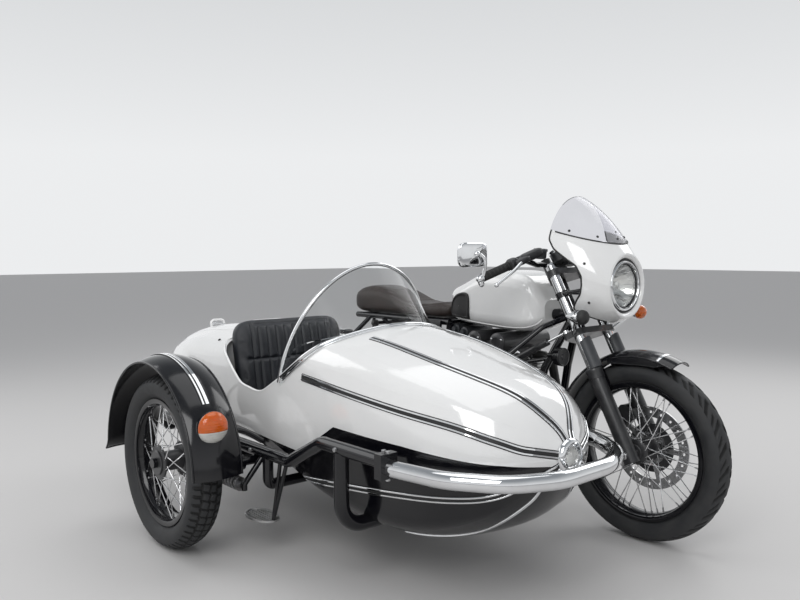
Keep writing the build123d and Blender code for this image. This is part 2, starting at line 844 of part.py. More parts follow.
pad_parts = []
for side in (1, -1):
    with BuildPart() as knee_pad:
        with BuildSketch(Plane.XZ.offset(-side * 100)) as pad_sketch:
            with BuildLine():
                Polyline((604, 782), (722, 776), (722, 866), (690, 892), (640, 880), (600, 830), close=True)
            make_face()
            fillet(pad_sketch.vertices(), radius=14)
        extrude(amount=-side * 40)
        add(fuel_tank.part, mode=Mode.SUBTRACT)
    pad_parts.append(knee_pad.part)
save(Compound(children=pad_parts), "knee_pads")

# Stepped seat on the rails
seat_half = 124
seat_top = [(556, 842), (470, 832), (385, 824), (290, 834), (215, 858), (140, 882), (40, 896), (-80, 890), (-130, 850)]
seat_base = [(-130, 850), (-130, 800), (-100, 764 + seat_gap), (540, 764 + seat_gap), (556, 778), (556, 842)]
with BuildPart() as seat:
    with BuildSketch(Plane.XZ.offset(-seat_half)):
        with BuildLine():
            Spline(*seat_top)
            Polyline(*seat_base)
        make_face()
    extrude(amount=2 * seat_half)
    add(fuel_tank.part, mode=Mode.SUBTRACT)
    add(main_frame.part, mode=Mode.SUBTRACT)
save(seat.part, "seat")

panel_parts = []
for side in (1, -1):
    with BuildPart() as side_panel:
        with BuildSketch(Plane.XZ.offset(-side * 113)):
            with BuildLine():
                Polyline((545, 757), (370, 757), (350, 640), (400, 540), (520, 560), close=True)
            make_face()
        extrude(amount=-side * 12)
        add(rod((480, side * 113, 749), (480, side * 109.3, 749), 7))
    panel_parts.append(side_panel.part)
save(Compound(children=panel_parts), "side_panels")

# Swingarm with the rear spindle, spacers and shock studs
arm_inner = 100
arm_wall = 26
stud_y = 162
with BuildPart() as swingarm:
    for side in (1, -1):
        with BuildSketch(Plane.XZ.offset(-side * arm_inner)):
            with Locations(pivot_place):
                Circle(22)
            with Locations((0, rear_tyre_radius)):
                Circle(25)
            make_hull()
            with Locations(pivot_place):
                Circle(9 + running_gap, mode=Mode.SUBTRACT)
        extrude(amount=-side * arm_wall)
        add(rod((0, side * 76, rear_tyre_radius), (0, side * arm_inner, rear_tyre_radius), 15))
        add(rod((38, side * 120, 346), (38, side * stud_y, 346), 8))
    add(rod((400, -arm_inner, 356), (400, arm_inner, 356), 16))
    add(rod((0, -142, rear_tyre_radius), (0, 142, rear_tyre_radius), rear_axle_radius))
save(swingarm.part, "swingarm")

shock_y = 147
shock_parts = []
spring_sections = 7
shock_low = Vector(38, 0, 346)
shock_high = Vector(110, 0, seat_rail_z - 30)
shock_axis = (shock_high - shock_low).normalized()
for side in (1, -1):
    low = shock_low + Vector(0, side * shock_y, 0)
    high = shock_high + Vector(0, side * shock_y, 0)
    span = (high - low).length
    with BuildPart() as shock:
        add(rod(low + Vector(0, -11, 0), low + Vector(0, 11, 0), 16))
        add(rod(high + Vector(0, -11, 0), high + Vector(0, 11, 0), 16))
        add(rod(low, high, 9))
        add(rod(low + shock_axis * 60, low + shock_axis * (span - 30), 17))
        for k in range(spring_sections):
            start = low + shock_axis * (84 + k * 34)
            with BuildSketch(Plane(origin=start, z_dir=shock_axis)):
                Circle(27)
            extrude(amount=12)
        add(rod(low + Vector(0, -20, 0), low + Vector(0, 20, 0), 8 + running_gap), mode=Mode.SUBTRACT)
        add(rod(high + Vector(0, -20, 0), high + Vector(0, 20, 0), 8 + running_gap), mode=Mode.SUBTRACT)
    shock_parts.append(shock.part)
save(Compound(children=shock_parts), "rear_shocks")

# Final drive: chain loop with the gearbox sprocket
front_sprocket = (630, 345)
front_pitch_radius = 43
chain_half = 8
with BuildPart() as drive_chain:
    with BuildSketch(Plane.XZ.offset(-sprocket_y - chain_half)):
        with Locations(front_sprocket):
            Circle(front_pitch_radius + 7)
        with Locations((0, rear_tyre_radius)):
            Circle(rear_pitch_radius + 7)
        make_hull()
    extrude(amount=2 * chain_half)
    with BuildSketch(Plane.XZ.offset(-sprocket_y - chain_half)):
        with Locations(front_sprocket):
            Circle(front_pitch_radius - 5)
        with Locations((0, rear_tyre_radius)):
            Circle(rear_pitch_radius - 5)
        make_hull()
    extrude(amount=2 * chain_half, mode=Mode.SUBTRACT)
    with BuildSketch(Plane.XZ.offset(-sprocket_y - 4)):
        with Locations(front_sprocket):
            Circle(front_pitch_radius - 3)
    extrude(amount=8)
    add(
        rod((630, gearbox_half * -1 - seat_gap, 345), (630, sprocket_y - 8, 345), 14)
    )
save(drive_chain.part, "drive_chain")

footrest_parts = []
for side in (1, -1):
    with BuildPart() as footrest:
        add(tube([(519, side * 68.3, 318), (478, side * 132, 304), (478, side * 290, 300)], 9, bend=20))
        add(main_frame.part, mode=Mode.SUBTRACT)
    footrest_parts.append(footrest.part.solids().sort_by(SortBy.VOLUME)[-1])
save(Compound(children=footrest_parts), "footrests")

# Rear mudguard, number plate carrier and tail lamp
rear_guard_crest = 356
rear_guard_half = 82
rear_guard = make_guard((0, 0, rear_tyre_radius), rear_guard_crest, 338, rear_guard_half, guard_wall, 62, 108)
guard_disc = rod((0, -150, rear_tyre_radius), (0, 150, rear_tyre_radius), rear_guard_crest + seat_gap)
guard_core = rod((0, -150, rear_tyre_radius), (0, 150, rear_tyre_radius), rear_guard_crest - guard_wall / 2)

plate_x = -392
plate_hole_spread = 150
with BuildPart() as rear_mudguard:
    with BuildSketch(Plane.YZ.offset(plate_x)):
        with Locations((0, 500)):
            RectangleRounded(220, 150, 12)
        with Locations((-plate_hole_spread / 2, 500), (plate_hole_spread / 2, 500)):
            Circle(3, mode=Mode.SUBTRACT)
    extrude(amount=4)
    with BuildSketch(Plane.YZ.offset(plate_x + 4)):
        with Locations((0, 520)):
            Rectangle(50, 22)
    extrude(amount=120)
    add(guard_core, mode=Mode.SUBTRACT)
    add(rear_guard)
    add(main_frame.part, mode=Mode.SUBTRACT)
save(rear_mudguard.part, "rear_mudguard")

with BuildPart() as tail_lamp:
    with BuildSketch(Plane.YZ.offset(-402)):
        with Locations((0, 612)):
            RectangleRounded(104, 74, 26)
    extrude(amount=190)
    add(guard_disc, mode=Mode.SUBTRACT)
    with BuildSketch(Plane.YZ.offset(-300)):
        with Locations((0, 600)):
            Rectangle(200, 300)
    extrude(amount=200, mode=Mode.SUBTRACT)
save(tail_lamp.part, "tail_lamp")

with BuildPart() as horn:
    with BuildSketch(Plane.YZ.offset(1156)):
        with Locations((-72, 652)):
            Circle(36)
    extrude(amount=26)
    with BuildSketch(Plane.YZ.offset(1110)):
        with Locations((-72, 652)):
            Circle(10)
    extrude(amount=50)
    add(main_frame.part, mode=Mode.SUBTRACT)
save(horn.part, "horn")

# Sidecar body: columns x, half width at the belt, belt height, shoulder half width, shoulder
# height, crest, chine half width, chine height, keel and corner radius
body_sections = [
    (-640, 100, 520, 82, 556, 574, 80, 462, 450, 24),
    (-590, 150, 528, 128, 578, 612, 120, 446, 428, 34),
    (-500, 198, 536, 167, 604, 670, 160, 424, 402, 46),
    (-400, 236, 542, 196, 630, 704, 195, 408, 386, 58),
    (-100, 300, 545, 272, 684, 740, 265, 375, 350, 85),
    (200, 330, 540, 305, 696, 754, 300, 345, 325, 90),
    (600, 342, 520, 318, 742, 812, 320, 325, 310, 90),
    (850, 342, 500, 318, 740, 815, 325, 262, 238, 90),
    (1050, 340, 490, 312, 726, 801, 308, 235, 165, 90),
    (1300, 326, 480, 290, 682, 758, 275, 230, 148, 85),
    (1494, 285, 475, 240, 634, 706, 225, 280, 215, 70),
    (1610, 225, 475, 180, 588, 662, 170, 340, 285, 52),
    (1680, 130, 480, 100, 550, 590, 95, 410, 380, 32),
    (1712, 60, 482, 48, 515, 530, 46, 450, 435, 14),
]


def make_body(inset):
    """Lofts the sidecar's whole body, or its hollow when an inset is given."""
    last = len(body_sections) - 1
    with BuildPart() as body:
        for k, row in enumerate(body_sections):
            x, wide, belt, shoulder, shoulder_z, crest, chine, chine_z, keel, corner = row
            if k == 0:
                x = x + inset
            if k == last:
                x = x - inset
            with BuildSketch(Plane.YZ.offset(x)) as section:
                with BuildLine():
                    ThreePointArc(
                        (side_y - shoulder + inset, shoulder_z - inset),
                        (side_y, crest - inset),
                        (side_y + shoulder - inset, shoulder_z - inset),
                    )
                    ThreePointArc(
                        (side_y + shoulder - inset, shoulder_z - inset),
                        (side_y + wide - inset, belt),
                        (side_y + chine - inset, chine_z + inset),
                    )
                    ThreePointArc(
                        (side_y + chine - inset, chine_z + inset),
                        (side_y, keel + inset),
                        (side_y - chine + inset, chine_z + inset),
                    )
                    ThreePointArc(
                        (side_y - chine + inset, chine_z + inset),
                        (side_y - wide + inset, belt),
                        (side_y - shoulder + inset, shoulder_z - inset),
                    )
                make_face()
                fillet(section.vertices(), radius=corner - inset * 0.6)
        loft()
    return body.part


body_outer = make_body(0)
body_inner = make_body(body_wall)

# White upper shell above the black hull: the joint drops in a V behind the footwell
joint_line = [(1760, 452), (1638, 473), (1346, 495), (1040, 503), (847, 384), (466, 398), (-700, 448)]
upper_region = side_cutter([*joint_line, (-700, 900), (1760, 900)], half=500, middle=side_y)
lower_region = side_cutter([*joint_line, (-700, 100), (1760, 100)], half=500, middle=side_y)
cockpit_points = [(214, 1200), (214, 712), (440, 570), (590, 552), (726, 628), (990, 808), (1100, 1200)]
with BuildPart() as cockpit_cut:
    with BuildSketch(Plane.XZ.offset(-side_y - 500)) as cockpit_sketch:
        with BuildLine():
            Polyline(*cockpit_points, close=True)
        make_face()
        fillet(cockpit_sketch.vertices().sort_by(Axis.Y)[:3], radius=130)
    extrude(amount=1000)
bulkhead_x = 200

# Boot lid, hinged at its front edge on the rear deck
lid_front = 120
lid_rear = -400
lid_half = 150
hinge_x = 134
hinge_z = 765
hinge_pin = 5
hinge_half = 120
with BuildPart() as lid_column:
    with BuildSketch(Plane.XY.offset(600)):
        with Locations(((lid_front + lid_rear) / 2, side_y)):
            RectangleRounded(lid_front - lid_rear, 2 * lid_half, 60)
    extrude(amount=300)
with BuildPart() as lid_hole:
    with BuildSketch(Plane.XY.offset(600)):
        with Locations(((lid_front + lid_rear) / 2, side_y)):
            RectangleRounded(
                lid_front - lid_rear + 2 * panel_gap, 2 * (lid_half + panel_gap), 60 + panel_gap
            )
    extrude(amount=300)
with BuildPart() as shell:
    add(body_outer)
    add(body_inner, mode=Mode.SUBTRACT)

bulkhead_region = side_cutter(
    [(bulkhead_x - 4, 300), (bulkhead_x + 4, 300), (bulkhead_x + 4, 900), (bulkhead_x - 4, 900)],
    half=500, middle=side_y,
)
with BuildPart() as bulkhead:
    add(body_inner)
    add(bulkhead_region, mode=Mode.INTERSECT)
    add(upper_region, mode=Mode.INTERSECT)
knuckle_radius = 9
with BuildPart() as shell_hinge:
    for low in (-hinge_half, hinge_half - 50):
        with BuildSketch(Plane.XZ.offset(-side_y - low - 50)):
            with Locations((hinge_x, hinge_z)):
                Circle(knuckle_radius)
            with Locations((hinge_x + 8, hinge_z - 20)):
                Rectangle(26, 40)
        extrude(amount=50)
    with BuildSketch(Plane.XZ.offset(-side_y - hinge_half)):
        with Locations((hinge_x, hinge_z)):
            Circle(hinge_pin)
    extrude(amount=2 * hinge_half)
    add(body_outer, mode=Mode.SUBTRACT)
with BuildPart() as upper_shell:
    add(shell.part)
    add(upper_region, mode=Mode.INTERSECT)
    add(cockpit_cut.part, mode=Mode.SUBTRACT)
    add(lid_hole.part, mode=Mode.SUBTRACT)
    add(bulkhead.part)
    add(shell_hinge.part)
save(upper_shell.part, "upper_shell")

with BuildPart() as lower_hull:
    add(shell.part)
    add(lower_region, mode=Mode.INTERSECT)
save(lower_hull.part, "lower_hull")

leaf_half = hinge_half - 52
with BuildPart() as lid_leaf:
    with BuildSketch(Plane.XZ.offset(-side_y - leaf_half)):
        with Locations((hinge_x, hinge_z)):
            Circle(knuckle_radius)
        with Locations((hinge_x - 30, hinge_z + 3)):
            Rectangle(60, 8)
        with Locations((lid_front - 34, hinge_z - 18)):
            Rectangle(60, 40)
    extrude(amount=2 * leaf_half)
    add(body_outer, mode=Mode.SUBTRACT)
    with BuildSketch(Plane.XZ.offset(-side_y - leaf_half)):
        with Locations((hinge_x, hinge_z)):
            Circle(hinge_pin + running_gap)
    extrude(amount=2 * leaf_half, mode=Mode.SUBTRACT)
lid_loop = tube(
    [(-370, side_y - 34, 688), (-375, side_y - 34, 740), (-375, side_y + 34, 740), (-370, side_y + 34, 688)],
    6, bend=18,
)
with BuildPart() as loop_cut:
    add(lid_loop)
    add(body_outer, mode=Mode.SUBTRACT)
with BuildPart() as boot_lid:
    add(shell.part)
    add(lid_column.part, mode=Mode.INTERSECT)
    add(lid_leaf.part)
    add(loop_cut.part)
save(boot_lid.part, "boot_lid")

# Seat of the sidecar: a cushion on the floor and a back against the bulkhead
back_half = 258
seat_crown_low = 660
seat_crown = 800
with BuildPart() as seat_space:
    add(make_body(body_wall + seat_gap))
    with BuildSketch(Plane.YZ.offset(217)):
        with Locations((side_y, (seat_crown_low + seat_crown) / 2)):
            RectangleRounded(2 * back_half, seat_crown - seat_crown_low, 56)
    extrude(amount=120)
    with BuildSketch(Plane.YZ.offset(217)):
        with Locations((side_y, (seat_crown_low + seat_crown) / 2 - 35)):
            Rectangle(2 * back_half, seat_crown - seat_crown_low - 70)
    extrude(amount=120)
trim_space = seat_space.part
cushion_front = 690
cushion_rear = 338
cushion_top = 505
cushion_half = 245
back_outline = [
    (bulkhead_x + 4 + seat_gap, 420), (bulkhead_x + 4 + seat_gap, 690), (217, 716), (217, 800),
    (258, 800), (290, 766), (cushion_rear - seat_gap, 500), (cushion_rear - seat_gap, 420),
]
cushion_outline = [
    (cushion_rear, 300), (cushion_rear, cushion_top - 12), (cushion_front - 40, cushion_top),
    (cushion_front, cushion_top - 40), (cushion_front - 20, 300),
]
seat_parts = []
for outline, half in ((back_outline, back_half), (cushion_outline, cushion_half)):
    with BuildPart() as soft_block:
        add(side_cutter(outline, half=half, middle=side_y))
        add(trim_space, mode=Mode.INTERSECT)
        add(upper_shell.part, mode=Mode.SUBTRACT)
    seat_parts.append(soft_block.part.solids().sort_by(SortBy.VOLUME)[-1])
save(Compound(children=seat_parts), "sidecar_seat")

# Windscreen: half a cylinder leaning back, cut by a plane from its corners to its crest
screen_radius = 340
glass_wall = 4
screen_base = (990, 808)
screen_crest = (835, 1021)
glass_lean = Vector(screen_crest[0] - screen_base[0], 0, screen_crest[1] - screen_base[1])
glass_up = glass_lean.normalized()
glass_out = Vector(glass_up.Z, 0, -glass_up.X)
glass_origin = Vector(screen_base[0], side_y, screen_base[1]) - glass_out * screen_radius
glass_plane = Plane(origin=glass_origin, x_dir=glass_out, z_dir=glass_up)
glass_foot = 15
rim_rise = Vector(screen_crest[0] - glass_origin.X, 0, screen_crest[1] - glass_origin.Z)
rim_up = rim_rise.normalized()
rim_plane = Plane(origin=glass_origin, x_dir=rim_up, z_dir=rim_up.cross(Vector(0, 1, 0)))
rim_tube = 7
rim_foot = glass_origin - rim_up * 120
rim_head = glass_origin + rim_up * 520
glass_region = side_cutter(
    [(rim_foot.X, rim_foot.Z), (rim_head.X, rim_head.Z), (1300, rim_head.Z), (1300, rim_foot.Z)],
    half=500, middle=side_y,
)
with BuildPart() as windscreen_frame:
    with BuildLine(rim_plane) as rim_route:
        EllipticalCenterArc(
            (0, 0), rim_rise.length, screen_radius - glass_wall / 2, start_angle=-90, arc_size=180
        )
    with BuildSketch(Plane(origin=rim_route.line @ 0, z_dir=rim_route.line % 0)):
        Circle(rim_tube)
    sweep()
    add(body_outer, mode=Mode.SUBTRACT)
save(windscreen_frame.part, "windscreen_frame")

with BuildPart() as windscreen:
    with BuildSketch(glass_plane.offset(-glass_foot)):
        with BuildLine():
            CenterArc((0, 0), screen_radius, -90, 180)
            CenterArc((0, 0), screen_radius - glass_wall, -90, 180)
            Line((0, screen_radius), (0, screen_radius - glass_wall))
            Line((0, -screen_radius), (0, -screen_radius + glass_wall))
        make_face()
    extrude(amount=glass_lean.length + glass_foot + 30)
    add(glass_region, mode=Mode.INTERSECT)
    add(body_outer, mode=Mode.SUBTRACT)
    add(windscreen_frame.part, mode=Mode.SUBTRACT)
save(windscreen.part, "windscreen")

# Chassis: two kicked-up rails, cross members, wrap-round bumper
rail_z = 364
rail_high = 462
rail_tail_x = -150
kick_low_x = 862
kick_high_x = 1050
rail_front_x = 1368
bumper_radius = 25
bumper_z = 446
bumper_half = [(rail_front_x - 20, 386), (1560, 352), (1704, 258), (1772, 112)]
bumper_route = [(x, side_y - half, bumper_z) for x, half in bumper_half]
bumper_route += [(x, side_y + half, bumper_z) for x, half in reversed(bumper_half)]
front_bumper = tube(bumper_route, bumper_radius, bend=200)
bumper_space = tube(bumper_route, bumper_radius + seat_gap, bend=200)
save(front_bumper, "front_bumper")

support_x = 1150
support_radius = 24
pivot_x = 650
pivot_z = 330
arm_y = -1190
shock_z = 258
rails = {}
for name, side in (("side_rail", -1), ("inner_rail", 1)):
    y = side_y + side * rail_spread
    main = tube(
        [(rail_tail_x, y, rail_z), (kick_low_x, y, rail_z), (kick_high_x, y, rail_high),
         (rail_front_x, y, rail_high)],
        rail_radius, bend=80,
    )
    support = tube(
        [(support_x, y, rail_high - 10), (support_x, y, 212), (support_x, y - side * 190, 212)],
        support_radius, bend=80,
    )
    stub = rod((pivot_x, y + 20, pivot_z), (pivot_x, arm_y - 46, pivot_z), 15)
    lug = tube([(694, y + 4, rail_z - 6), (694, arm_y - 19, shock_z + 6), (694, arm_y - 19, shock_z - 16)], 10, bend=12)
    with BuildPart() as rail:
        add(main)
        add(support)
        with Locations((rail_front_x - 4, y, (rail_high + bumper_z) / 2)):
            Box(30, 62, 74)
        if side < 0:
            add(stub)
            add(lug)
        add(body_outer, mode=Mode.SUBTRACT)
        add(bumper_space, mode=Mode.SUBTRACT)
    rails[name] = rail.part
save(Compound(children=[rails["side_rail"].solid(), rails["inner_rail"].solid()]), "side_rails")

# Cross members: columns x, height
cross_places = [(-120, 320), (400, 286), (720, 252)]
cross_radius = 19
cross_tubes = []
for x, z in cross_places:
    cross_tubes.append(
        tube(
            [(x, side_y - rail_spread, rail_z), (x, side_y - rail_spread, z),
             (x, side_y + rail_spread, z), (x, side_y + rail_spread, rail_z)],
            cross_radius, bend=24,
        )
    )
with BuildPart() as cross_members:
    for piece in cross_tubes:
        add(piece)
    for x, z in cross_places:
        for side in (-1, 1):
            add(rod((x, side_y + side * 180, z), (x, side_y + side * 180, z + 90), 16))
    add(body_outer, mode=Mode.SUBTRACT)
    for rail in rails.values():
        add(rail, mode=Mode.SUBTRACT)
cross_solids = cross_members.part.solids().filter_by(lambda solid: solid.bounding_box().min.Z < 305)
save(Compound(children=list(cross_solids)), "cross_members")

# Struts that bolt the sidecar to the motorcycle's frame
strut_routes = [
    ([(900, side_y + rail_spread, rail_z), (900, -110, 228)], 14),
    ([(330, side_y + rail_spread, rail_z), (518, -54, 484)], 14),
    ([(930, side_y + rail_spread, rail_z + 40), (930, side_y + rail_spread, 530), (1112, -112, 768),
      (1166, -20, 806)], 11),
    ([(20, side_y + rail_spread, rail_z), (20, side_y + rail_spread, 560), (20, -96, seat_rail_z)], 11),
]
strut_tubes = []
for route, radius in strut_routes:
    with BuildPart() as strut:
        add(tube(route, radius, bend=50))
        add(rails["inner_rail"], mode=Mode.SUBTRACT)
        add(main_frame.part, mode=Mode.SUBTRACT)
        add(crankcase.part, mode=Mode.SUBTRACT)
    strut_tubes.append(strut.part.solids().sort_by(SortBy.VOLUME)[-1])
save(Compound(children=strut_tubes), "mounting_struts")

# Sidecar mudguard on two stays from the outer rail
side_guard_crest = 387
side_guard_edge = 364
side_guard_half = 88
side_centre = (side_wheel_x, side_wheel_y, side_tyre_radius)
side_guard_shell = make_guard(side_centre, side_guard_crest, side_guard_edge, side_guard_half, guard_wall, 2, 180)
guard_stays = [
    tube([(side_wheel_x + run, side_y - rail_spread, rail_z), (side_wheel_x + run, side_y - rail_spread - 10, 560),
          (side_wheel_x + run, side_wheel_y + 84, 626)], 8, bend=40)
    for run in (190, -190)
]
with BuildPart() as wheel_guard:
    add(side_guard_shell)
    for stay in guard_stays:
        add(stay)
    add(rails["side_rail"], mode=Mode.SUBTRACT)
save(wheel_guard.part, "wheel_guard")

side_disc = rod(
    (side_wheel_x, side_wheel_y - 100, side_tyre_radius), (side_wheel_x, side_wheel_y + 100, side_tyre_radius),
    side_guard_crest + seat_gap,
)
guard_lamp_place = (700, side_wheel_y - 10, 494)
with BuildPart() as guard_lamp:
    with BuildSketch(Plane.XZ.offset(-guard_lamp_place[1])):
        with BuildLine():
            Polyline((700, 494), (700, 494 + 50), (752, 494 + 54), (766, 494 + 52))
            lens_arc((766, 494 + 52), (790, 494))
            Line((790, 494), (700, 494))
        make_face()
    revolve(axis=Axis(guard_lamp_place, (1, 0, 0)))
    add(side_disc, mode=Mode.SUBTRACT)

nose_x = body_sections[-1][0]
nose_lamp_z = 482
with BuildPart() as nose_lamp:
    with BuildSketch(Plane.XZ.offset(-side_y)):
        with BuildLine():
            Polyline((nose_x - 30, nose_lamp_z), (nose_x - 30, nose_lamp_z + 52), (nose_x + 14, nose_lamp_z + 52),
                     (nose_x + 18, nose_lamp_z + 44))
            lens_arc((nose_x + 18, nose_lamp_z + 44), (nose_x + 29, nose_lamp_z))
            Line((nose_x + 29, nose_lamp_z), (nose_x - 30, nose_lamp_z))
        make_face()
    revolve(axis=Axis((nose_x, side_y, nose_lamp_z), (1, 0, 0)))
    add(body_outer, mode=Mode.SUBTRACT)
save(Compound(children=[guard_lamp.part.solid(), nose_lamp.part.solid()]), "sidecar_lamps")

# Oval entry step under the outer rail
step_place = (675, side_y - rail_spread, 132)
with BuildPart() as entry_step:
    with BuildSketch(Plane.XY.offset(step_place[2] - 4)):
        with Locations((step_place[0], step_place[1])):
            Ellipse(84, 50)
    extrude(amount=8)
    for top_x in (800, 838):
        add(rod((top_x, step_place[1], rail_z), (752, step_place[1], step_place[2]), 7))
    add(rails["side_rail"], mode=Mode.SUBTRACT)
entry_solid = entry_step.part.solids().sort_by(SortBy.VOLUME)[-1]
save(entry_solid, "entry_step")

# Sidecar wheel's trailing arm with its spindle, and the spring unit under it
arm_thick = 38
with BuildPart() as trailing_arm:
    with BuildSketch(Plane.XZ.offset(-arm_y)):
        with Locations((pivot_x, pivot_z)):
            Circle(27)
        with Locations((side_wheel_x, side_tyre_radius)):
            Circle(27)
        make_hull()
        with Locations((450, 283)):
            Rectangle(30, 76)
        with Locations((pivot_x, pivot_z)):
            Circle(15 + seat_gap, mode=Mode.SUBTRACT)
    extrude(amount=arm_thick)
    add(rod((side_wheel_x, arm_y - arm_thick, side_tyre_radius), (side_wheel_x, side_wheel_y + 56, side_tyre_radius), 22))
    add(rod((side_wheel_x, arm_y - arm_thick, side_tyre_radius), (side_wheel_x, side_wheel_y - 70, side_tyre_radius),
            side_axle_radius))
    add(rod((side_wheel_x, side_wheel_y - 56, side_tyre_radius), (side_wheel_x, side_wheel_y - 70, side_tyre_radius), 18))
save(trailing_arm.part, "trailing_arm")

unit_y = arm_y - arm_thick / 2
with BuildPart() as side_shock:
    add(rod((465 + seat_gap, unit_y, shock_z), (684 - seat_gap, unit_y, shock_z), 10))
    for k in range(7):
        add(rod((484 + k * 26, unit_y, shock_z), (494 + k * 26, unit_y, shock_z), 23))
save(side_shock.part, "sidecar_shock")
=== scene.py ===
import bmesh
import bpy
import numpy as np
from mathutils import Matrix, Vector
from mathutils.bvhtree import BVHTree


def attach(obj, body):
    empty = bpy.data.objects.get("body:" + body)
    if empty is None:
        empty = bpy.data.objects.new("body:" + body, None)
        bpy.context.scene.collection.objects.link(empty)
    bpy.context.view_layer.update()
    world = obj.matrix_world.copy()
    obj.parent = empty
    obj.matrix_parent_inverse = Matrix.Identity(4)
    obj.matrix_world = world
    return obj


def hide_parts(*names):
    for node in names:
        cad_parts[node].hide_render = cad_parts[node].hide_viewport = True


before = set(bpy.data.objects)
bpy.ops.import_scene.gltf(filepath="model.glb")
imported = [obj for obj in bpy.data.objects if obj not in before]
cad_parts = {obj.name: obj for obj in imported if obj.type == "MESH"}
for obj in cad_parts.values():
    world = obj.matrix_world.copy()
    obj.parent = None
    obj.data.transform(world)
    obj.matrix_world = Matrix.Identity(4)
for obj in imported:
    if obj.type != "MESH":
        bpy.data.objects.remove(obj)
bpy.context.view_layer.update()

# Camera: a hand-held view from the sidecar's front quarter, a little above the handlebar.
# Places are given in millimetres about the rear axle, as in the CAD source.
outfit_origin = np.array([592.0, -464.0, 0.0])


def row(points):
    """Turns millimetres about the rear axle into the row's metres: the origin is taken off, then /1000."""
    return (np.asarray(points, float) - outfit_origin) / 1000


yaw, pitch, roll = np.radians((139.078, 3.505, 0.192))
ahead = np.array([np.cos(yaw) * np.cos(pitch), np.sin(yaw) * np.cos(pitch), -np.sin(pitch)])
level = np.array([np.sin(yaw), -np.cos(yaw), 0.0])
below_level = np.cross(ahead, level)
picture_right = np.cos(roll) * level + np.sin(roll) * below_level
picture_down = np.cos(roll) * below_level - np.sin(roll) * level
camera_place = row((3053.4, -2538.5, 1063.6))
camera = bpy.data.objects.new("camera", bpy.data.cameras.new("camera"))
bpy.context.scene.collection.objects.link(camera)
camera.data.lens = 35.046
camera.matrix_world = Matrix(
    [[picture_right[i], -picture_down[i], -ahead[i], camera_place[i]] for i in range(3)] + [[0, 0, 0, 1]]
)
bpy.context.scene.camera = camera
bpy.context.scene.view_settings.view_transform = "Standard"

# Studio: a wide pale floor, a pale sky that metal and glass also see, and four soft boxes.
# The sky pales towards the horizon, and is dimmer for plain light, so that the boxes shape the forms.
world = bpy.data.worlds.new("studio")
bpy.context.scene.world = world
world.use_nodes = True


def wired(tree, kind, inputs=(), **settings):
    """Makes a shader node: each input takes a plain value or another node's output socket."""
    node = tree.nodes.new("ShaderNode" + kind)
    for label, value in settings.items():
        setattr(node, label, value)
    for label, value in dict(inputs).items():
        if isinstance(value, bpy.types.NodeSocket):
            tree.links.new(value, node.inputs[label])
        else:
            node.inputs[label].default_value = value
    return node


sky_tree = world.node_tree
rays = wired(sky_tree, "LightPath").outputs
seen = wired(
    sky_tree, "Math", {0: rays["Is Camera Ray"], 1: rays["Is Transmission Ray"]}, operation="MAXIMUM"
)
mirrored = wired(sky_tree, "Math", {0: seen.outputs[0], 1: rays["Is Glossy Ray"]}, operation="MAXIMUM")
sky_direction = wired(sky_tree, "TexCoord")
sky_split = wired(sky_tree, "SeparateXYZ", {0: sky_direction.outputs["Generated"]})
sky_ramp = wired(sky_tree, "ValToRGB", {0: sky_split.outputs["Z"]})
horizon, zenith = sky_ramp.color_ramp.elements
horizon.position, horizon.color = 0.12, (0.84, 0.85, 0.86, 1)
zenith.position, zenith.color = 0.8, (0.3, 0.32, 0.34, 1)
sky_mix = wired(
    sky_tree, "Mix", {"Factor": mirrored.outputs[0], "A": (0.5, 0.51, 0.53, 1),
                      "B": sky_ramp.outputs["Color"]}, data_type="RGBA",
)
sky_tree.links.new(sky_mix.outputs["Result"], sky_tree.nodes["Background"].inputs["Color"])

floor_mesh = bpy.data.meshes.new("studio_floor")
floor_half = 40
floor_corners = [(x * floor_half, y * floor_half, 0) for x, y in ((-1, -1), (1, -1), (1, 1), (-1, 1))]
floor_mesh.from_pydata(floor_corners, [], [(0, 1, 2, 3)])
studio_floor = bpy.data.objects.new("studio_floor", floor_mesh)
bpy.context.scene.collection.objects.link(studio_floor)
floor_material = bpy.data.materials.new("studio_floor")
floor_material.use_nodes = True
floor_shader = floor_material.node_tree.nodes["Principled BSDF"]
floor_shader.inputs["Base Color"].default_value = (0.62, 0.61, 0.6, 1)
floor_shader.inputs["Roughness"].default_value = 0.7
floor_mesh.materials.append(floor_material)

for name, place, aim, size, power in (
    ("key_box", (2.6, -3.6, 3.6), (0.1, -0.2, 0.4), 2.6, 88),
    ("fill_box", (-3.4, -2.4, 3.0), (-0.2, -0.2, 0.4), 2.6, 34),
    ("back_box", (0.4, 4.2, 3.6), (0.1, 0.3, 0.5), 2.8, 60),
    ("top_box", (0.2, 0.0, 4.6), (0.2, 0.0, 0.4), 3.4, 44),
):
    lamp = bpy.data.lights.new(name, "AREA")
    lamp.size = size
    lamp.energy = power
    holder = bpy.data.objects.new(name, lamp)
    holder.location = place
    holder.rotation_mode = "QUATERNION"
    holder.rotation_quaternion = (Vector(aim) - Vector(place)).to_track_quat("-Z", "Y")
    bpy.context.scene.collection.objects.link(holder)

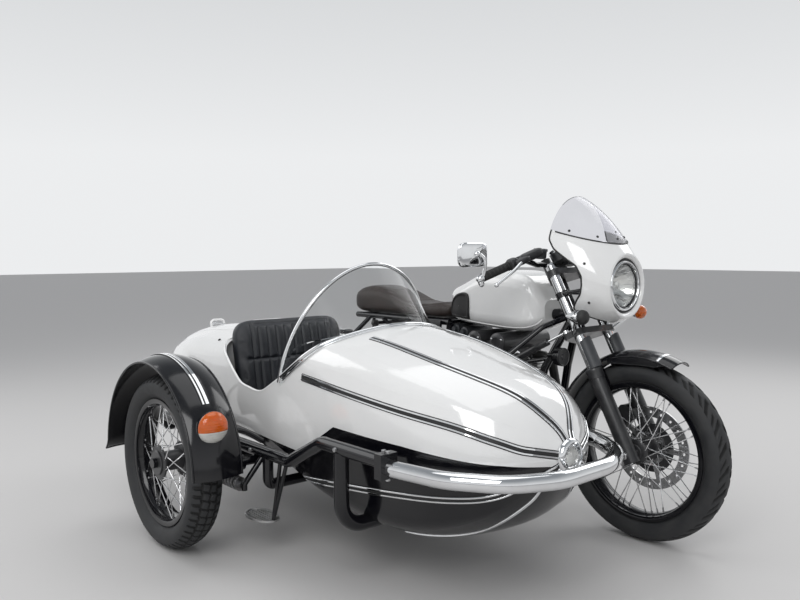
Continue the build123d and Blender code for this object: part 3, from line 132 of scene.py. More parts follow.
# White upper shell of the sidecar: moulded and sprayed in a deep white enamel, then clear-coated
# and polished. The finishes below share two effects: soft patches of wear, and a fine grain.
effect = bpy.data.node_groups.new("patches_and_grain", "ShaderNodeTree")
for way, label, kind, value in (
    ("INPUT", "Vector", "Vector", None), ("INPUT", "Colour", "Color", (1, 1, 1, 1)),
    ("INPUT", "Worn colour", "Color", (1, 1, 1, 1)), ("INPUT", "Roughness", "Float", 0.3),
    ("INPUT", "Worn roughness", "Float", 0.5), ("INPUT", "Patch size", "Float", 8.0),
    ("INPUT", "Grain size", "Float", 300.0), ("OUTPUT", "Colour", "Color", None),
    ("OUTPUT", "Roughness", "Float", None), ("OUTPUT", "Height", "Float", None),
):
    socket = effect.interface.new_socket(label, in_out=way, socket_type="NodeSocket" + kind)
    if value is not None:
        socket.default_value = value
given = effect.nodes.new("NodeGroupInput").outputs
patches = wired(effect, "TexNoise", {
    "Vector": given["Vector"], "Scale": given["Patch size"], "Detail": 6, "Roughness": 0.65,
})
grain = wired(effect, "TexNoise", {"Vector": given["Vector"], "Scale": given["Grain size"], "Detail": 3})
spread = wired(effect, "MapRange", {"Value": patches.outputs["Fac"], "From Min": 0.42, "From Max": 0.72})
colour_mix = wired(
    effect, "Mix", {"Factor": spread.outputs[0], "A": given["Colour"], "B": given["Worn colour"]},
    data_type="RGBA",
)
rough_mix = wired(effect, "Mix", {
    "Factor": spread.outputs[0], "A": given["Roughness"], "B": given["Worn roughness"],
})
given_back = effect.nodes.new("NodeGroupOutput").inputs
effect.links.new(colour_mix.outputs["Result"], given_back["Colour"])
effect.links.new(rough_mix.outputs["Result"], given_back["Roughness"])
effect.links.new(grain.outputs["Fac"], given_back["Height"])


def finish(name, colour, worn, roughness, patch, grain_size, bump, pattern=None, slot=None, **plain):
    """Makes a finish: patches between two colours and two roughnesses, and a bump of fine grain.

    pattern builds further nodes and gives back a height socket that is used in the grain's place.
    slot is not used. plain holds
    values set on the shader's own sockets.
    """
    material = bpy.data.materials.new(name)
    material.use_nodes = True
    tree = material.node_tree
    shader = tree.nodes["Principled BSDF"].inputs
    on_piece = wired(tree, "TexCoord").outputs["Object"]
    group = wired(tree, "Group", {
        "Vector": on_piece, "Colour": (*colour, 1), "Worn colour": (*worn, 1), "Roughness": roughness[0],
        "Worn roughness": roughness[1], "Patch size": patch, "Grain size": grain_size,
    }, node_tree=effect)
    height = pattern(tree, on_piece, group) if pattern else group.outputs["Height"]
    relief = wired(tree, "Bump", {"Strength": bump[0], "Distance": bump[1], "Height": height})
    tree.links.new(group.outputs["Colour"], shader["Base Color"])
    tree.links.new(group.outputs["Roughness"], shader["Roughness"])
    tree.links.new(relief.outputs["Normal"], shader["Normal"])
    for label, value in plain.items():
        shader[label.replace("_", " ")].default_value = value
    return material


def dress(material, *nodes):
    """Gives CAD nodes their finish."""
    for node in nodes:
        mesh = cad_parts[node].data
        mesh.materials.clear()
        mesh.materials.append(material)


white_enamel = finish(
    "white_enamel", (0.83, 0.83, 0.82), (0.8, 0.8, 0.79), (0.1, 0.17), 3, 260, (0.03, 0.001), Coat_Weight=1.0,
    Coat_Roughness=0.03,
)
dress(white_enamel, "upper_shell", "boot_lid")

# Black lower hull: the same moulding in black gloss.
black_enamel = finish(
    "black_enamel", (0.004, 0.004, 0.006), (0.009, 0.009, 0.01), (0.1, 0.24), 6, 260, (0.03, 0.001),
    Coat_Weight=0.2, Coat_Roughness=0.04, Specular_IOR_Level=0.4,
)
dress(black_enamel, "lower_hull")

# Body mouldings: bright strips with a black rubber insert along the sides, over the hood and
# round the hull, all running together under the nose lamp's bezel.
chrome = finish(
    "chrome", (0.78, 0.79, 0.8), (0.72, 0.72, 0.73), (0.05, 0.13), 14, 400, (0.02, 0.0005), Metallic=1.0,
    slot="chrome_plate",
)
insert_rubber = finish(
    "insert_rubber", (0.012, 0.012, 0.012), (0.02, 0.02, 0.02), (0.45, 0.6), 20, 900, (0.2, 0.0005),
    slot="black_rubber",
)


def make_piece(name, grids, material, body="machine", sharp=38):
    """Joins grids of places in millimetres into one mesh: each square of four neighbours is a face.

    Equal places along closed seams and poles become one, and the faces are turned outwards. The
    piece takes its material in one slot.
    """
    places, faces, start = [], [], 0
    for grid in grids:
        count = grid.shape[0] * grid.shape[1]
        index = start + np.arange(count).reshape(grid.shape[:2])
        faces.append(
            np.stack([index[:-1, :-1], index[1:, :-1], index[1:, 1:], index[:-1, 1:]], -1).reshape(-1, 4)
        )
        places.append(grid.reshape(-1, 3))
        start += count
    mesh = bpy.data.meshes.new(name)
    mesh.from_pydata(row(np.concatenate(places)).tolist(), [], np.concatenate(faces).tolist())
    work = bmesh.new()
    work.from_mesh(mesh)
    bmesh.ops.remove_doubles(work, verts=work.verts, dist=2e-6)
    bmesh.ops.recalc_face_normals(work, faces=work.faces)
    work.to_mesh(mesh)
    work.free()
    mesh.polygons.foreach_set("use_smooth", np.ones(len(mesh.polygons), bool))
    mesh.set_sharp_from_angle(angle=np.radians(sharp))
    mesh.materials.append(material)
    piece = bpy.data.objects.new(name, mesh)
    bpy.context.scene.collection.objects.link(piece)
    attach(piece, body)
    return piece


def smooth_path(points, count, closed=False):
    """Curve through points (Catmull-Rom): between two points the place is a cubic of four neighbours."""
    points = np.asarray(points, float)
    if closed:
        ring = np.concatenate([points[-1:], points, points[:2]])
    else:
        ring = np.concatenate([2 * points[:1] - points[1:2], points, 2 * points[-1:] - points[-2:-1]])
    spans = len(ring) - 3
    where = np.linspace(0, spans, count)
    first = np.minimum(where.astype(int), spans - 1)
    t = (where - first)[:, None]
    a, b, c, d = (ring[first + k] for k in range(4))
    return 0.5 * (2 * b + (c - a) * t + (2 * a - 5 * b + 4 * c - d) * t**2 + (3 * b - a - 3 * c + d) * t**3)


def unit(vectors):
    """Vectors divided by their own lengths."""
    vectors = np.asarray(vectors, float)
    return vectors / np.maximum(np.linalg.norm(vectors, axis=-1, keepdims=True), 1e-12)


def straps(path, normals, low, high, rise):
    """Low strip on a surface: its section runs up, over and down across the path, raised by rise."""
    along = unit(np.gradient(path, axis=0))
    across = np.cross(normals, along)
    shape = np.array(
        [(low, -1.5), (low, rise * 0.6), (low + 0.9, rise), (high - 0.9, rise), (high, rise * 0.6),
         (high, -1.5), (low, -1.5)],
    )
    grid = path[:, None] + across[:, None] * shape[None, :, :1] + normals[:, None] * shape[None, :, 1:]
    ends = [np.repeat(grid[k].mean(axis=0)[None], grid.shape[1], axis=0)[None] for k in (0, -1)]
    return np.concatenate([ends[0], grid, ends[1]])


side_y = -740.0
forward, leftward, skyward = np.eye(3)
skin = {}


def take_skins(*nodes):
    """Keeps the surfaces of CAD nodes, so that lines can be laid on them."""
    for node in nodes:
        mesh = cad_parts[node].data
        mesh.calc_loop_triangles()
        corners = [vertex.co for vertex in mesh.vertices]
        skin[node] = BVHTree.FromPolygons(corners, [face.vertices for face in mesh.loop_triangles])


take_skins("upper_shell", "lower_hull", "boot_lid")


def laid_on(shells, starts, directions):
    """Places and normals where a line from each start first meets one of the shells.

    There may be one direction for all lines. Each normal faces its line's start, and a line that
    meets nothing is left out.
    """
    places, normals = [], []
    for start, direction in zip(starts, np.broadcast_to(directions, (len(starts), 3))):
        hits = [skin[shell].ray_cast(Vector(row(start)), Vector(direction)) for shell in shells]
        hits = [hit for hit in hits if hit[0] is not None]
        if hits:
            place, normal, _, _ = min(hits, key=lambda hit: hit[3])
            places.append(tuple(place))
            normals.append(np.array(normal) * (-1 if np.array(normal) @ direction > 0 else 1))
    return np.array(places) * 1000 + outfit_origin, unit(normals)


def eased(places, normals):
    """Averages each place and normal with its neighbours, to take the facets out of a laid line."""
    for _ in range(3):
        places[1:-1] = (places[:-2] + 2 * places[1:-1] + places[2:]) / 4
        normals[1:-1] = unit(normals[:-2] + 2 * normals[1:-1] + normals[2:])
    return places, normals


nose_place = np.array([1712.0, side_y, 482.0])
nose_heart = np.array([1540.0, side_y, 470.0])
bezel_reach = 44


def to_the_lamp(places, normals):
    """Carries a laid line on over the nose, from its last place to the rim of the nose lamp."""
    rim_place = nose_place + bezel_reach * unit((places[-1] - nose_place) * (0, 1, 1))
    share = np.linspace(0, 1, 22)[1:, None]
    outwards = unit(places[-1] * (1 - share) + rim_place * share - nose_heart)
    more_places, more_normals = laid_on(("upper_shell", "lower_hull"), nose_heart + 600 * outwards, -outwards)
    return np.concatenate([places, more_places]), np.concatenate([normals, more_normals])


bright_bands, black_bands = [], []
trim_routes = [("upper_shell", "side", [(853, 642), (1060, 622), (1290, 598), (1494, 572), (1610, 540),
                                        (1670, 512)]), ("upper_shell", "hood",
                                                        [(1040, 178), (1250, 170), (1400, 150), (1560, 108),
                                                         (1650, 70), (1700, 22)]),
               ("lower_hull", "side", [(850, 292), (980, 304), (1101, 317), (1300, 338), (1494, 357),
                                       (1610, 380), (1680, 425)]),
               ("lower_hull", "side", [(1240, 182), (1386, 197), (1490, 232), (1584, 290), (1650, 352),
                                       (1690, 418)])]
beside, above = 520, 1100
for shell, kind, points in trim_routes:
    for hand in (-1, 1):
        path = smooth_path(points, 90)
        if kind == "side":
            starts = [(x, side_y + hand * beside, z) for x, z in path]
            direction = -hand * leftward
        else:
            starts = [(x, side_y + hand * offset, above) for x, offset in path]
            direction = -skyward
        places, normals = eased(*to_the_lamp(*laid_on([shell], starts, direction)))
        slim = shell == "lower_hull" and points[0][0] > 1200
        bands = [(-5, 5, 3.4)] if slim else [(-10.5, -4.5, 3.6), (4.5, 10.5, 3.6)]
        bright_bands += [straps(places, normals, *band) for band in bands]
        if not slim:
            black_bands += [straps(places, normals, -13, 13, 1.3), straps(places, normals, -4, 4, 2.8)]
make_piece("body_mouldings", bright_bands, chrome)
make_piece("moulding_inserts", black_bands, insert_rubber)

# Windscreen of the sidecar: clear acrylic sheet bent to half a cylinder that leans back, in a
# chrome rim, seated on a bright strip that is screwed to the hood round its foot.
clear_sheet = finish(
    "clear_sheet", (0.97, 0.98, 0.98), (0.94, 0.95, 0.95), (0.0, 0.04), 5, 200, (0.01, 0.0005), IOR=1.1,
    Transmission_Weight=1.0,
)
dress(clear_sheet, "windscreen")
dress(chrome, "windscreen_frame")


def swung(turn, first, second):
    """Unit vectors at angles in a plane: the first way, turned towards the second."""
    return np.cos(turn)[..., None] * first + np.sin(turn)[..., None] * second


foot_slope = unit((990 - 726, 0, 808 - 628))
foot_rays = swung(np.radians(np.linspace(-89, 89, 150)), foot_slope, leftward)
foot_starts = np.array([727.0, side_y, 626.0]) + 700 * foot_rays
foot_line, foot_up = eased(*laid_on(["upper_shell"], foot_starts, -foot_rays))


def carried(path, radius, sides=12, capped=True):
    """Round bar along a path: a circle of the radius (one, or one for each place) square to the path."""
    path = np.asarray(path, float)
    along = unit(np.gradient(path, axis=0))
    steady = np.eye(3)[np.abs(along).max(axis=0).argmin()]
    side = unit(np.cross(along, steady))
    up = np.cross(side, along)
    turn = np.linspace(0, 2 * np.pi, sides + 1)
    size = np.broadcast_to(np.asarray(radius, float), len(path))[:, None, None]
    grid = path[:, None] + size * swung(turn, side[:, None], up[:, None])
    if not capped:
        return grid
    first, last = (np.repeat(path[k][None, None], sides + 1, axis=1) for k in (0, -1))
    return np.concatenate([first, grid, last])


def turned(profile, centre, axis, sides=64, start=0.0, arc=360.0):
    """Turned surface: each pair of profile is a distance along the axis and a radius carried round it."""
    profile = np.asarray(profile, float)
    axis = unit(axis)
    side = unit(np.cross(axis, np.eye(3)[np.abs(axis).argmin()]))
    up = np.cross(axis, side)
    turn = np.radians(start) + np.linspace(0, np.radians(arc), sides + 1)
    return np.asarray(centre, float) + profile[:, None, :1] * axis + profile[:, None, 1:] * swung(
        turn, side, up
    )


def studs(places, normals, radius, height, sides=12):
    """Domed screw heads: a low turned cap on each place, square to its normal."""
    cap = [(-0.6, radius), (height * 0.35, radius), (height * 0.75, radius * 0.75), (height, 0)]
    return [turned(cap, place, normal, sides) for place, normal in zip(places, normals)]


foot_out = np.cross(foot_up, unit(np.gradient(foot_line, axis=0)))
hand = 1 if foot_out[75] @ foot_slope > 0 else -1
screen_foot = [
    straps(foot_line, foot_up, *sorted((-4 * hand, 17 * hand)), 3.0),
    carried(foot_line + foot_up * 4, 7, 12),
    carried(foot_line + foot_up * 3 + foot_out * hand * 15, 3, 10),
]
make_piece("windscreen_foot_strip", screen_foot, chrome)
screw_at = np.arange(6, len(foot_line) - 4, 11)
bright_steel = finish(
    "bright_steel", (0.6, 0.6, 0.61), (0.42, 0.42, 0.42), (0.24, 0.42), 25, 700, (0.08, 0.0005), Metallic=1.0
)
make_piece(
    "windscreen_foot_screws", studs((foot_line + foot_up * 3 + foot_out * hand * 9)[screw_at],
                                    foot_up[screw_at], 3, 2.4), bright_steel,
)

# Cockpit edge: the shell's raw edge is rolled into a bead along both sides of the cockpit.


def rounded(corners, radius, steps=14):
    """Line through corners, each cut off by an arc of the radius that touches both of its runs."""
    corners = np.asarray(corners, float)
    pieces = [corners[:1]]
    for before, corner, after in zip(corners, corners[1:], corners[2:]):
        back, onward = unit(before - corner), unit(after - corner)
        half_angle = np.arccos(np.clip(back @ onward, -1, 1)) / 2
        centre = corner + unit(back + onward) * radius / np.sin(half_angle)
        start, end = (corner + way * radius / np.tan(half_angle) for way in (back, onward))
        share = np.linspace(0, 1, steps)[:, None]
        pieces.append(centre + radius * unit((start - centre) * (1 - share) + (end - centre) * share))
    return np.concatenate([*pieces, corners[-1:]])


def evenly(path, count):
    """The same line at even spacing: places are interpolated against the distance along it."""
    path = np.asarray(path, float)
    run = np.concatenate([[0], np.cumsum(np.linalg.norm(np.diff(path, axis=0), axis=1))])
    where = np.linspace(0, run[-1], count)
    return np.stack([np.interp(where, run, path[:, k]) for k in range(path.shape[1])], -1)


cockpit_line = evenly(rounded([(216, 713), (440, 570), (590, 552), (726, 628), (760, 650)], 130), 110)
beading = []
for hand in (-1, 1):
    starts = [(x, side_y + hand * beside, z - 2) for x, z in cockpit_line]
    places, normals = eased(*laid_on(["upper_shell"], starts, -hand * leftward))
    beading.append(carried(places + (0, -hand * 4, 2), 5.2, 10))
make_piece("cockpit_beading", beading, white_enamel)

# Passenger seat: black pleated vinyl over foam, a high back with rolled bolsters and a deep bench
# cushion, sewn in channels with a seam across the back. The same vinyl lines the cockpit.


def sewn(tree, vector, group):
    """Adds fine leather grain: the distance to the edges of small cells, under the plain grain."""
    cells = wired(tree, "TexVoronoi", {"Scale": 420, "Vector": vector}, feature="DISTANCE_TO_EDGE")
    soften = wired(tree, "MapRange", {"From Max": 0.18, "Value": cells.outputs["Distance"]})
    total = wired(tree, "Math", {0: soften.outputs[0], 1: group.outputs["Height"]}, operation="ADD")
    return total.outputs[0]


black_vinyl = finish(
    "black_vinyl", (0.014, 0.016, 0.02), (0.026, 0.028, 0.034), (0.34, 0.5), 9, 60, (0.35, 0.0006), sewn,
    slot="dark_leather",
)


lining_x, lining_share = np.meshgrid(np.linspace(207, 1180, 70), np.linspace(0, 1, 16))
lining_top = np.interp(lining_x, cockpit_line[:, 0], cockpit_line[:, 1]) - 5
lining_z = lining_top + (455 - lining_top) * lining_share
lining = []
for hand in (-1, 1):
    inside = np.stack([lining_x, np.full_like(lining_x, side_y), lining_z], -1)
    reach = [
        skin["upper_shell"].ray_cast(Vector(row(place)), Vector(hand * leftward))[0]
        for place in inside.reshape(-1, 3)
    ]
    wall_y = np.array([np.nan if hit is None else hit.y * 1000 + outfit_origin[1] for hit in reach])
    wall_y = wall_y.reshape(lining_x.shape)
    for k in range(1, len(wall_y)):
        wall_y[k] = np.where(np.isnan(wall_y[k]), wall_y[k - 1], wall_y[k])
    wall_y = np.where(np.abs(wall_y - side_y) > 340, side_y + hand * 318, wall_y)
    inside[..., 1] = np.nan_to_num(wall_y, nan=side_y + hand * 300) - hand * 4
    lining.append(inside)
make_piece("cockpit_lining", lining, black_vinyl, sharp=80)


def cushion(centre, across, up, out, half, square=0.3, edge=0.6, around=140, over=64):
    """Closed pillow: a superellipsoid, cosines and sines raised to powers, on three half sizes."""
    turn, tilt = np.meshgrid(np.linspace(0, 2 * np.pi, around + 1), np.linspace(-np.pi / 2, np.pi / 2, over))

    def shaped(value, power):
        return np.sign(value) * np.abs(value) ** power

    girth = shaped(np.cos(tilt), edge)
    s, t, w = girth * shaped(np.cos(turn), square), girth * shaped(np.sin(turn), square), shaped(
        np.sin(tilt), edge
    )
    s[[0, -1]], t[[0, -1]] = 0, 0
    s[:, -1], t[:, -1] = s[:, 0], t[:, 0]
    return (np.asarray(centre, float) + s[..., None] * half[0] * across + t[..., None] * half[1] * up
            + w[..., None] * half[2] * out)


def stuffed(piece, cap, seams):
    """Fills a skin with foam: voxel remesh, cloth under inner pressure, then its sewn lines.

    No place moves further than cap millimetres under the pressure. seams gives, from places and
    normals in millimetres, how far each place is drawn in.
    """
    def baked():
        depsgraph = bpy.context.evaluated_depsgraph_get()
        fresh = bpy.data.meshes.new_from_object(piece.evaluated_get(depsgraph))
        piece.modifiers.clear()
        piece.data = fresh

    def read(kind):
        values = np.empty(len(piece.data.vertices) * 3)
        piece.data.vertices.foreach_get(kind, values)
        return values.reshape(-1, 3)

    even = piece.modifiers.new("even_faces", "REMESH")
    even.mode = "VOXEL"
    even.voxel_size = 0.0068
    baked()
    smooth = piece.modifiers.new("smooth", "SMOOTH")
    smooth.iterations = 4
    baked()
    before = read("co")
    air = piece.modifiers.new("foam", "CLOTH")
    air.settings.use_pressure = True
    air.settings.uniform_pressure_force = 4
    air.settings.effector_weights.gravity = 0
    air.settings.quality = 4
    for step in range(1, 21):
        bpy.context.scene.frame_set(step)
    baked()
    moved = read("co") - before
    far = np.linalg.norm(moved, axis=1, keepdims=True)
    limited = before + moved * np.minimum(1, cap / 1000 / np.maximum(far, 1e-9))
    piece.data.vertices.foreach_set("co", limited.ravel())
    bpy.context.scene.frame_set(1)
    finer = piece.modifiers.new("finer", "SUBSURF")
    finer.levels = finer.render_levels = 1
    baked()
    places = read("co") * 1000 + outfit_origin
    normals = read("normal")
    places -= normals * seams(places, normals)[:, None]
    piece.data.vertices.foreach_set("co", row(places).ravel())
    piece.data.polygons.foreach_set("use_smooth", np.ones(len(piece.data.polygons), bool))
    piece.data.update()


def seam(distance, width, depth):
    """Depth of a sewn line: a bell over the distance from it, with a sharper stitch line inside."""
    return depth * (0.75 * np.exp(-(distance / width) ** 2) + 0.25 * np.exp(-(distance / (0.3 * width)) ** 2))


seat_up = unit((240 - 300, 0, 800 - 420))
seat_out = np.array([seat_up[2], 0, -seat_up[0]])
pleat_gap = 42.0
pleats_end = pleat_gap * 9 / 2


def pleats_between(places):
    """Seams of the pleats between the two side rolls, and how far each place is from the middle."""
    away = np.abs(places[:, 1] - side_y)
    nearest = np.abs((away / pleat_gap + 0.5) % 1 - 0.5) * pleat_gap
    return away, seam(nearest, 7, 8) * np.clip((pleats_end + 4 - away) / 6, 0, 1)


def back_seams(places, normals):
    """Pleats between the bolsters, a seam across under them and one round each bolster."""
    height = places[:, 2]
    away, pleats = pleats_between(places)
    pleats = pleats * np.clip((770 - height) / 14, 0, 1)
    crossing = seam(height - 636, 7, 9) * np.clip((228 - away) / 10, 0, 1)
    bolster = seam(away - pleats_end - 8, 7, 9) * np.clip((782 - height) / 14, 0, 1)
    crown = seam(height - 774, 7, 5) * np.clip((pleats_end - away) / 8, 0, 1)
    facing = np.clip(normals @ seat_out * 1.6, 0, 1)
    return facing * np.maximum(np.maximum(pleats, crossing), np.maximum(bolster, crown))


back_form = cushion((272, side_y, 604), leftward, seat_up, seat_out, (268, 192, 43), 0.3, 0.55)
seat_back = make_piece("passenger_seat_back", [back_form], black_vinyl, sharp=180)
stuffed(seat_back, 7, back_seams)
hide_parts("sidecar_seat")


def cushion_seams(places, normals):
    """Pleats from front to back between two side rolls, and a seam along the front roll."""
    away, pleats = pleats_between(places)
    pleats = pleats * np.clip((640 - places[:, 0]) / 10, 0, 1)
    front_roll = seam(places[:, 0] - 648, 7, 9)
    side_roll = seam(away - pleats_end - 8, 7, 9)
    facing = np.clip(normals[:, 2] * 1.6, 0, 1)
    return facing * np.maximum(np.maximum(pleats, front_roll), side_roll)


bench_form = cushion(
    (512, side_y, 408), leftward, np.array([1, 0, 0.05]), np.array([-0.05, 0, 1]), (236, 172, 92), 0.3, 0.5
)
seat_cushion = make_piece("passenger_seat_cushion", [bench_form], black_vinyl, sharp=180)
stuffed(seat_cushion, 8, cushion_seams)

# Boot lid's fittings: a chrome loop and a key lock on the lid, the hinge's knuckles, and a stud for
# the cockpit's cover beside them.
loop = smooth_path(
    [(-370, -772, 690), (-376, -772, 708), (-378, -765, 721), (-378, -740, 724), (-378, -715, 721),
     (-376, -708, 708), (-370, -708, 690)], 60,
)
make_piece("boot_loop", [carried(loop, 6.6, 14)], chrome, "lid")
lock_top, lock_normal = laid_on(["boot_lid"], [(-322, side_y, above)], -skyward)
lock_cap = [(-1, 15), (3, 15), (4.5, 13), (4.5, 6), (3.5, 5.5), (3.5, 0)]
make_piece("boot_lock", [turned(lock_cap, lock_top[0], lock_normal[0], 32)], chrome, "lid")
hinge_grids = [
    turned([(-1, 0), (-1, 9.5), (51, 9.5), (51, 0)], (134, side_y + y, 765), leftward, 24) for y in (-120, 70)
]
make_piece("boot_hinge_knuckles", hinge_grids, chrome)
side_knob, side_facing = laid_on(["upper_shell"], [(150, side_y - beside, 705)], leftward)
make_piece("tonneau_studs", studs(side_knob, side_facing, 6, 6), insert_rubber)

# Nose lamp: a broad chrome bezel with four screws round a bowl and its small fluted clear lens.
bezel = [(-28, 52.4), (2, 52.4), (10, 51), (15, 47), (17, 42), (15, 37), (9, 34), (8, 31), (10, 29), (10, 26)]
nose_bezel = make_piece("nose_lamp_bezel", [turned(bezel, nose_place, forward, 72)], chrome)
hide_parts("sidecar_lamps")
bowl = [(-14, 0), (-12, 10), (-6, 20), (6, 28)]
make_piece("nose_lamp_bowl", [turned(bowl, nose_place, forward, 48)], chrome)
lamp_glass = finish(
    "lamp_glass", (0.97, 0.97, 0.95), (0.9, 0.9, 0.88), (0.02, 0.1), 30, 90, (0.5, 0.002), IOR=1.4,
    Transmission_Weight=1.0, slot="lamp_lens",
)
across, upward = np.meshgrid(np.linspace(0, 2 * np.pi, 97), np.linspace(0, 1, 20))
dome = np.stack([
    10 + 15 * np.sqrt(np.clip(1 - upward**2, 0, 1)) + 0.7 * np.cos(16 * across) * upward,
    28.5 * upward * np.cos(across), 28.5 * upward * np.sin(across),
], -1)
make_piece("nose_lamp_lens", [nose_place + dome], lamp_glass)
bezel_studs = nose_place + np.array([(15, y, z) for y, z in ((30, 30), (-30, -30), (-30, 30), (30, -30))])
make_piece("nose_lamp_screws", studs(bezel_studs, [forward] * 4, 3, 2.5), bright_steel)

# Mudguard of the sidecar wheel: pressed steel in black gloss with a wired edge, on two stays, with
# two bright strips along its crown and a round marker lamp at its front, amber over clear.
guard_centre = np.array([400.0, -1344.0, 313.0])
guard_crest, guard_edge, guard_half = 387.0, 364.0, 88.0
guard_arch = (guard_half**2 + (guard_crest - guard_edge) ** 2) / (2 * (guard_crest - guard_edge))


def guard_radius(offset):
    """Radius of the guard's outside at an offset from its mid-plane: a circle's arc over the section."""
    return guard_crest - guard_arch + np.sqrt(guard_arch**2 - np.asarray(offset, float) ** 2)


def hooped(turn):
    """Unit vectors round an axle: angles in degrees, from straight ahead over the top."""
    return swung(np.radians(turn), forward, skyward)


outward = hooped(np.linspace(40, 178, 150))
centre_path = guard_centre - 8 * leftward + guard_radius(8) * outward
guard_strips = [straps(centre_path, outward, *band) for band in ((-14, -2, 3.2), (3, 10, 3.2))]
make_piece("guard_strips", guard_strips, chrome)
guard_lines = [straps(centre_path, outward, *band) for band in ((-2.4, 3.4, 2), (9.6, 12, 2))]
make_piece("guard_strip_inserts", guard_lines, insert_rubber)
turn, offset = np.meshgrid(np.linspace(2, 182, 150), np.linspace(-guard_half, guard_half, 33), indexing="ij")
guard_size = guard_radius(offset) + 24 * np.clip((turn - 175) / 7, 0, 1) ** 2
sideways = offset[..., None] * leftward
outer = guard_centre + guard_size[..., None] * hooped(turn) + sideways
inner = guard_centre + (guard_size - 3)[..., None] * hooped(turn) + sideways * 0.98


def walled(outside, inside):
    """Closed wall: two grids of the same shape, and a strip between each pair of their edges."""
    pairs = ((outside[:, 0], inside[:, 0]), (outside[:, -1], inside[:, -1]), (outside[0], inside[0]),
             (outside[-1], inside[-1]))
    return [outside, inside, *(np.stack(pair, 1) for pair in pairs)]


guard_shell = make_piece("guard_shell", walled(outer, inner), black_enamel, sharp=50)
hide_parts("wheel_guard")
wired_edges = [carried(outer[:, k], 4, 10) for k in (0, -1)] + [carried(outer[-1], 3.5, 10)]
make_piece("guard_wired_edge", wired_edges, black_enamel)
stay_routes = [[(718, -1270, 470), (716, -1215, 452), (716, -1150, 410)],
               [(80, -1270, 530), (90, -1200, 470), (120, -1148, 380)]]
guard_stays = [carried(smooth_path(points, 30), 9, 12) for points in stay_routes]
make_piece("guard_stays", guard_stays, black_enamel)
lamp_centre = np.array([742.0, -1354.0, 494.0])
amber_glass = finish(
    "amber_glass", (1.0, 0.2, 0.01), (0.9, 0.15, 0.01), (0.04, 0.12), 30, 120, (0.3, 0.0012), IOR=1.3,
    Transmission_Weight=0.5, Coat_Weight=1.0, slot="lamp_lens",
)
housing = [(-42, 38), (-20, 46), (-4, 52), (4, 54), (9, 54), (10, 53), (8, 50)]
make_piece("guard_lamp_housing", [turned(housing, lamp_centre, forward, 64)], black_enamel)
reflector = [(-12, 0), (-10, 16), (-2, 36), (8, 50.5)]
make_piece("guard_lamp_back", [turned(reflector, lamp_centre, forward, 48)], chrome)
split = -0.22
half_turn, upward = np.meshgrid(np.linspace(0, 1, 49), np.linspace(0, 1, 24))
frosted_glass = finish(
    "frosted_glass", (0.86, 0.85, 0.8), (0.7, 0.69, 0.64), (0.06, 0.2), 40, 140, (0.5, 0.0015), IOR=1.3,
    Transmission_Weight=0.35, Coat_Weight=1.0, slot="lamp_lens",
)
for name, glass_finish, low_angle, high_angle in (
    ("guard_lamp_amber", amber_glass, np.arcsin(split), np.pi - np.arcsin(split)),
    ("guard_lamp_clear", frosted_glass, np.pi - np.arcsin(split), 2 * np.pi + np.arcsin(split)),
):
    round_lens = low_angle + (high_angle - low_angle) * half_turn
    rim_y, rim_z = np.cos(round_lens), np.sin(round_lens)
    lens_y, lens_z = upward * rim_y, split + upward * (rim_z - split)
    bulge = 8 + 30 * np.sqrt(np.clip(1.02 - lens_y**2 - lens_z**2, 0, 1)) + 0.5 * np.cos(40 * lens_z)
    lens = np.stack([bulge, 53 * lens_y, 53 * lens_z], -1)
    back = lens * (0, 1, 1) + 7 * forward
    rims = (lens[:, 0], lens[:, -1], lens[-1])
    seams = [np.stack([rim, rim * (0, 1, 1) + 7 * forward], 1) for rim in rims]
    make_piece(name, [lamp_centre + part for part in (lens, back, *seams)], glass_finish)

# Chassis of the sidecar: painted steel tubes, and a chromed front bumper in split clamps.
dress(black_enamel, "side_rails", "cross_members", "mounting_struts", "trailing_arm")
dress(chrome, "front_bumper")
clamp_bolts = [((1364 + dx, side_y + dy, 454 + dz * 37), (0, 0, dz))
               for dy in (-390, 390) for dx, dz in ((-9, 1), (9, 1), (-9, -1), (9, -1))]
clamp_bolts += [((x, side_y - 412, z), (0, -1, 0)) for x, z in ((200, 364), (640, 364), (1150, 462))]
hex_head = [(-1, 7.5), (5.5, 7.5), (6.5, 6.5), (6.5, 0)]
make_piece(
    "clamp_bolts", [turned(hex_head, place, facing, 6) for place, facing in clamp_bolts], bright_steel,
    sharp=25,
)

# Spring unit of the sidecar wheel: a coil spring over its damper, lying under the swinging arm.
unit_y, unit_z = -1209.0, 258.0
coil_turn = np.linspace(0, 2 * np.pi * 8.5, 340)
coil = np.stack([480 + coil_turn * 3.4, unit_y + 21 * np.cos(coil_turn), unit_z + 21 * np.sin(coil_turn)], -1)
damper_profile = [(465.3, 0), (465.3, 12), (474, 12), (474, 24), (478, 24), (478, 13), (560, 13), (560, 7),
                  (664, 7), (664, 24), (668, 24), (668, 12), (683.7, 12), (683.7, 0)]
spring_steel = finish(
    "spring_steel", (0.3, 0.3, 0.31), (0.16, 0.15, 0.14), (0.3, 0.5), 30, 500, (0.1, 0.0005), Metallic=1.0,
    slot="bright_steel",
)
spring = make_piece(
    "sidecar_spring", [carried(coil, 4, 10), turned(damper_profile, (0, unit_y, unit_z), forward, 32)],
    spring_steel,
)
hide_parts("sidecar_shock")

# Oval entry step: a cast alloy plate with a raised rim and six ribs, on two steel struts.
cast_alloy = finish(
    "cast_alloy", (0.5, 0.5, 0.5), (0.36, 0.36, 0.35), (0.38, 0.55), 18, 320, (0.3, 0.001), Metallic=1.0
)
step_place = np.array([675.0, -1130.0, 132.0])
oval_turn = np.linspace(0, 2 * np.pi, 97)


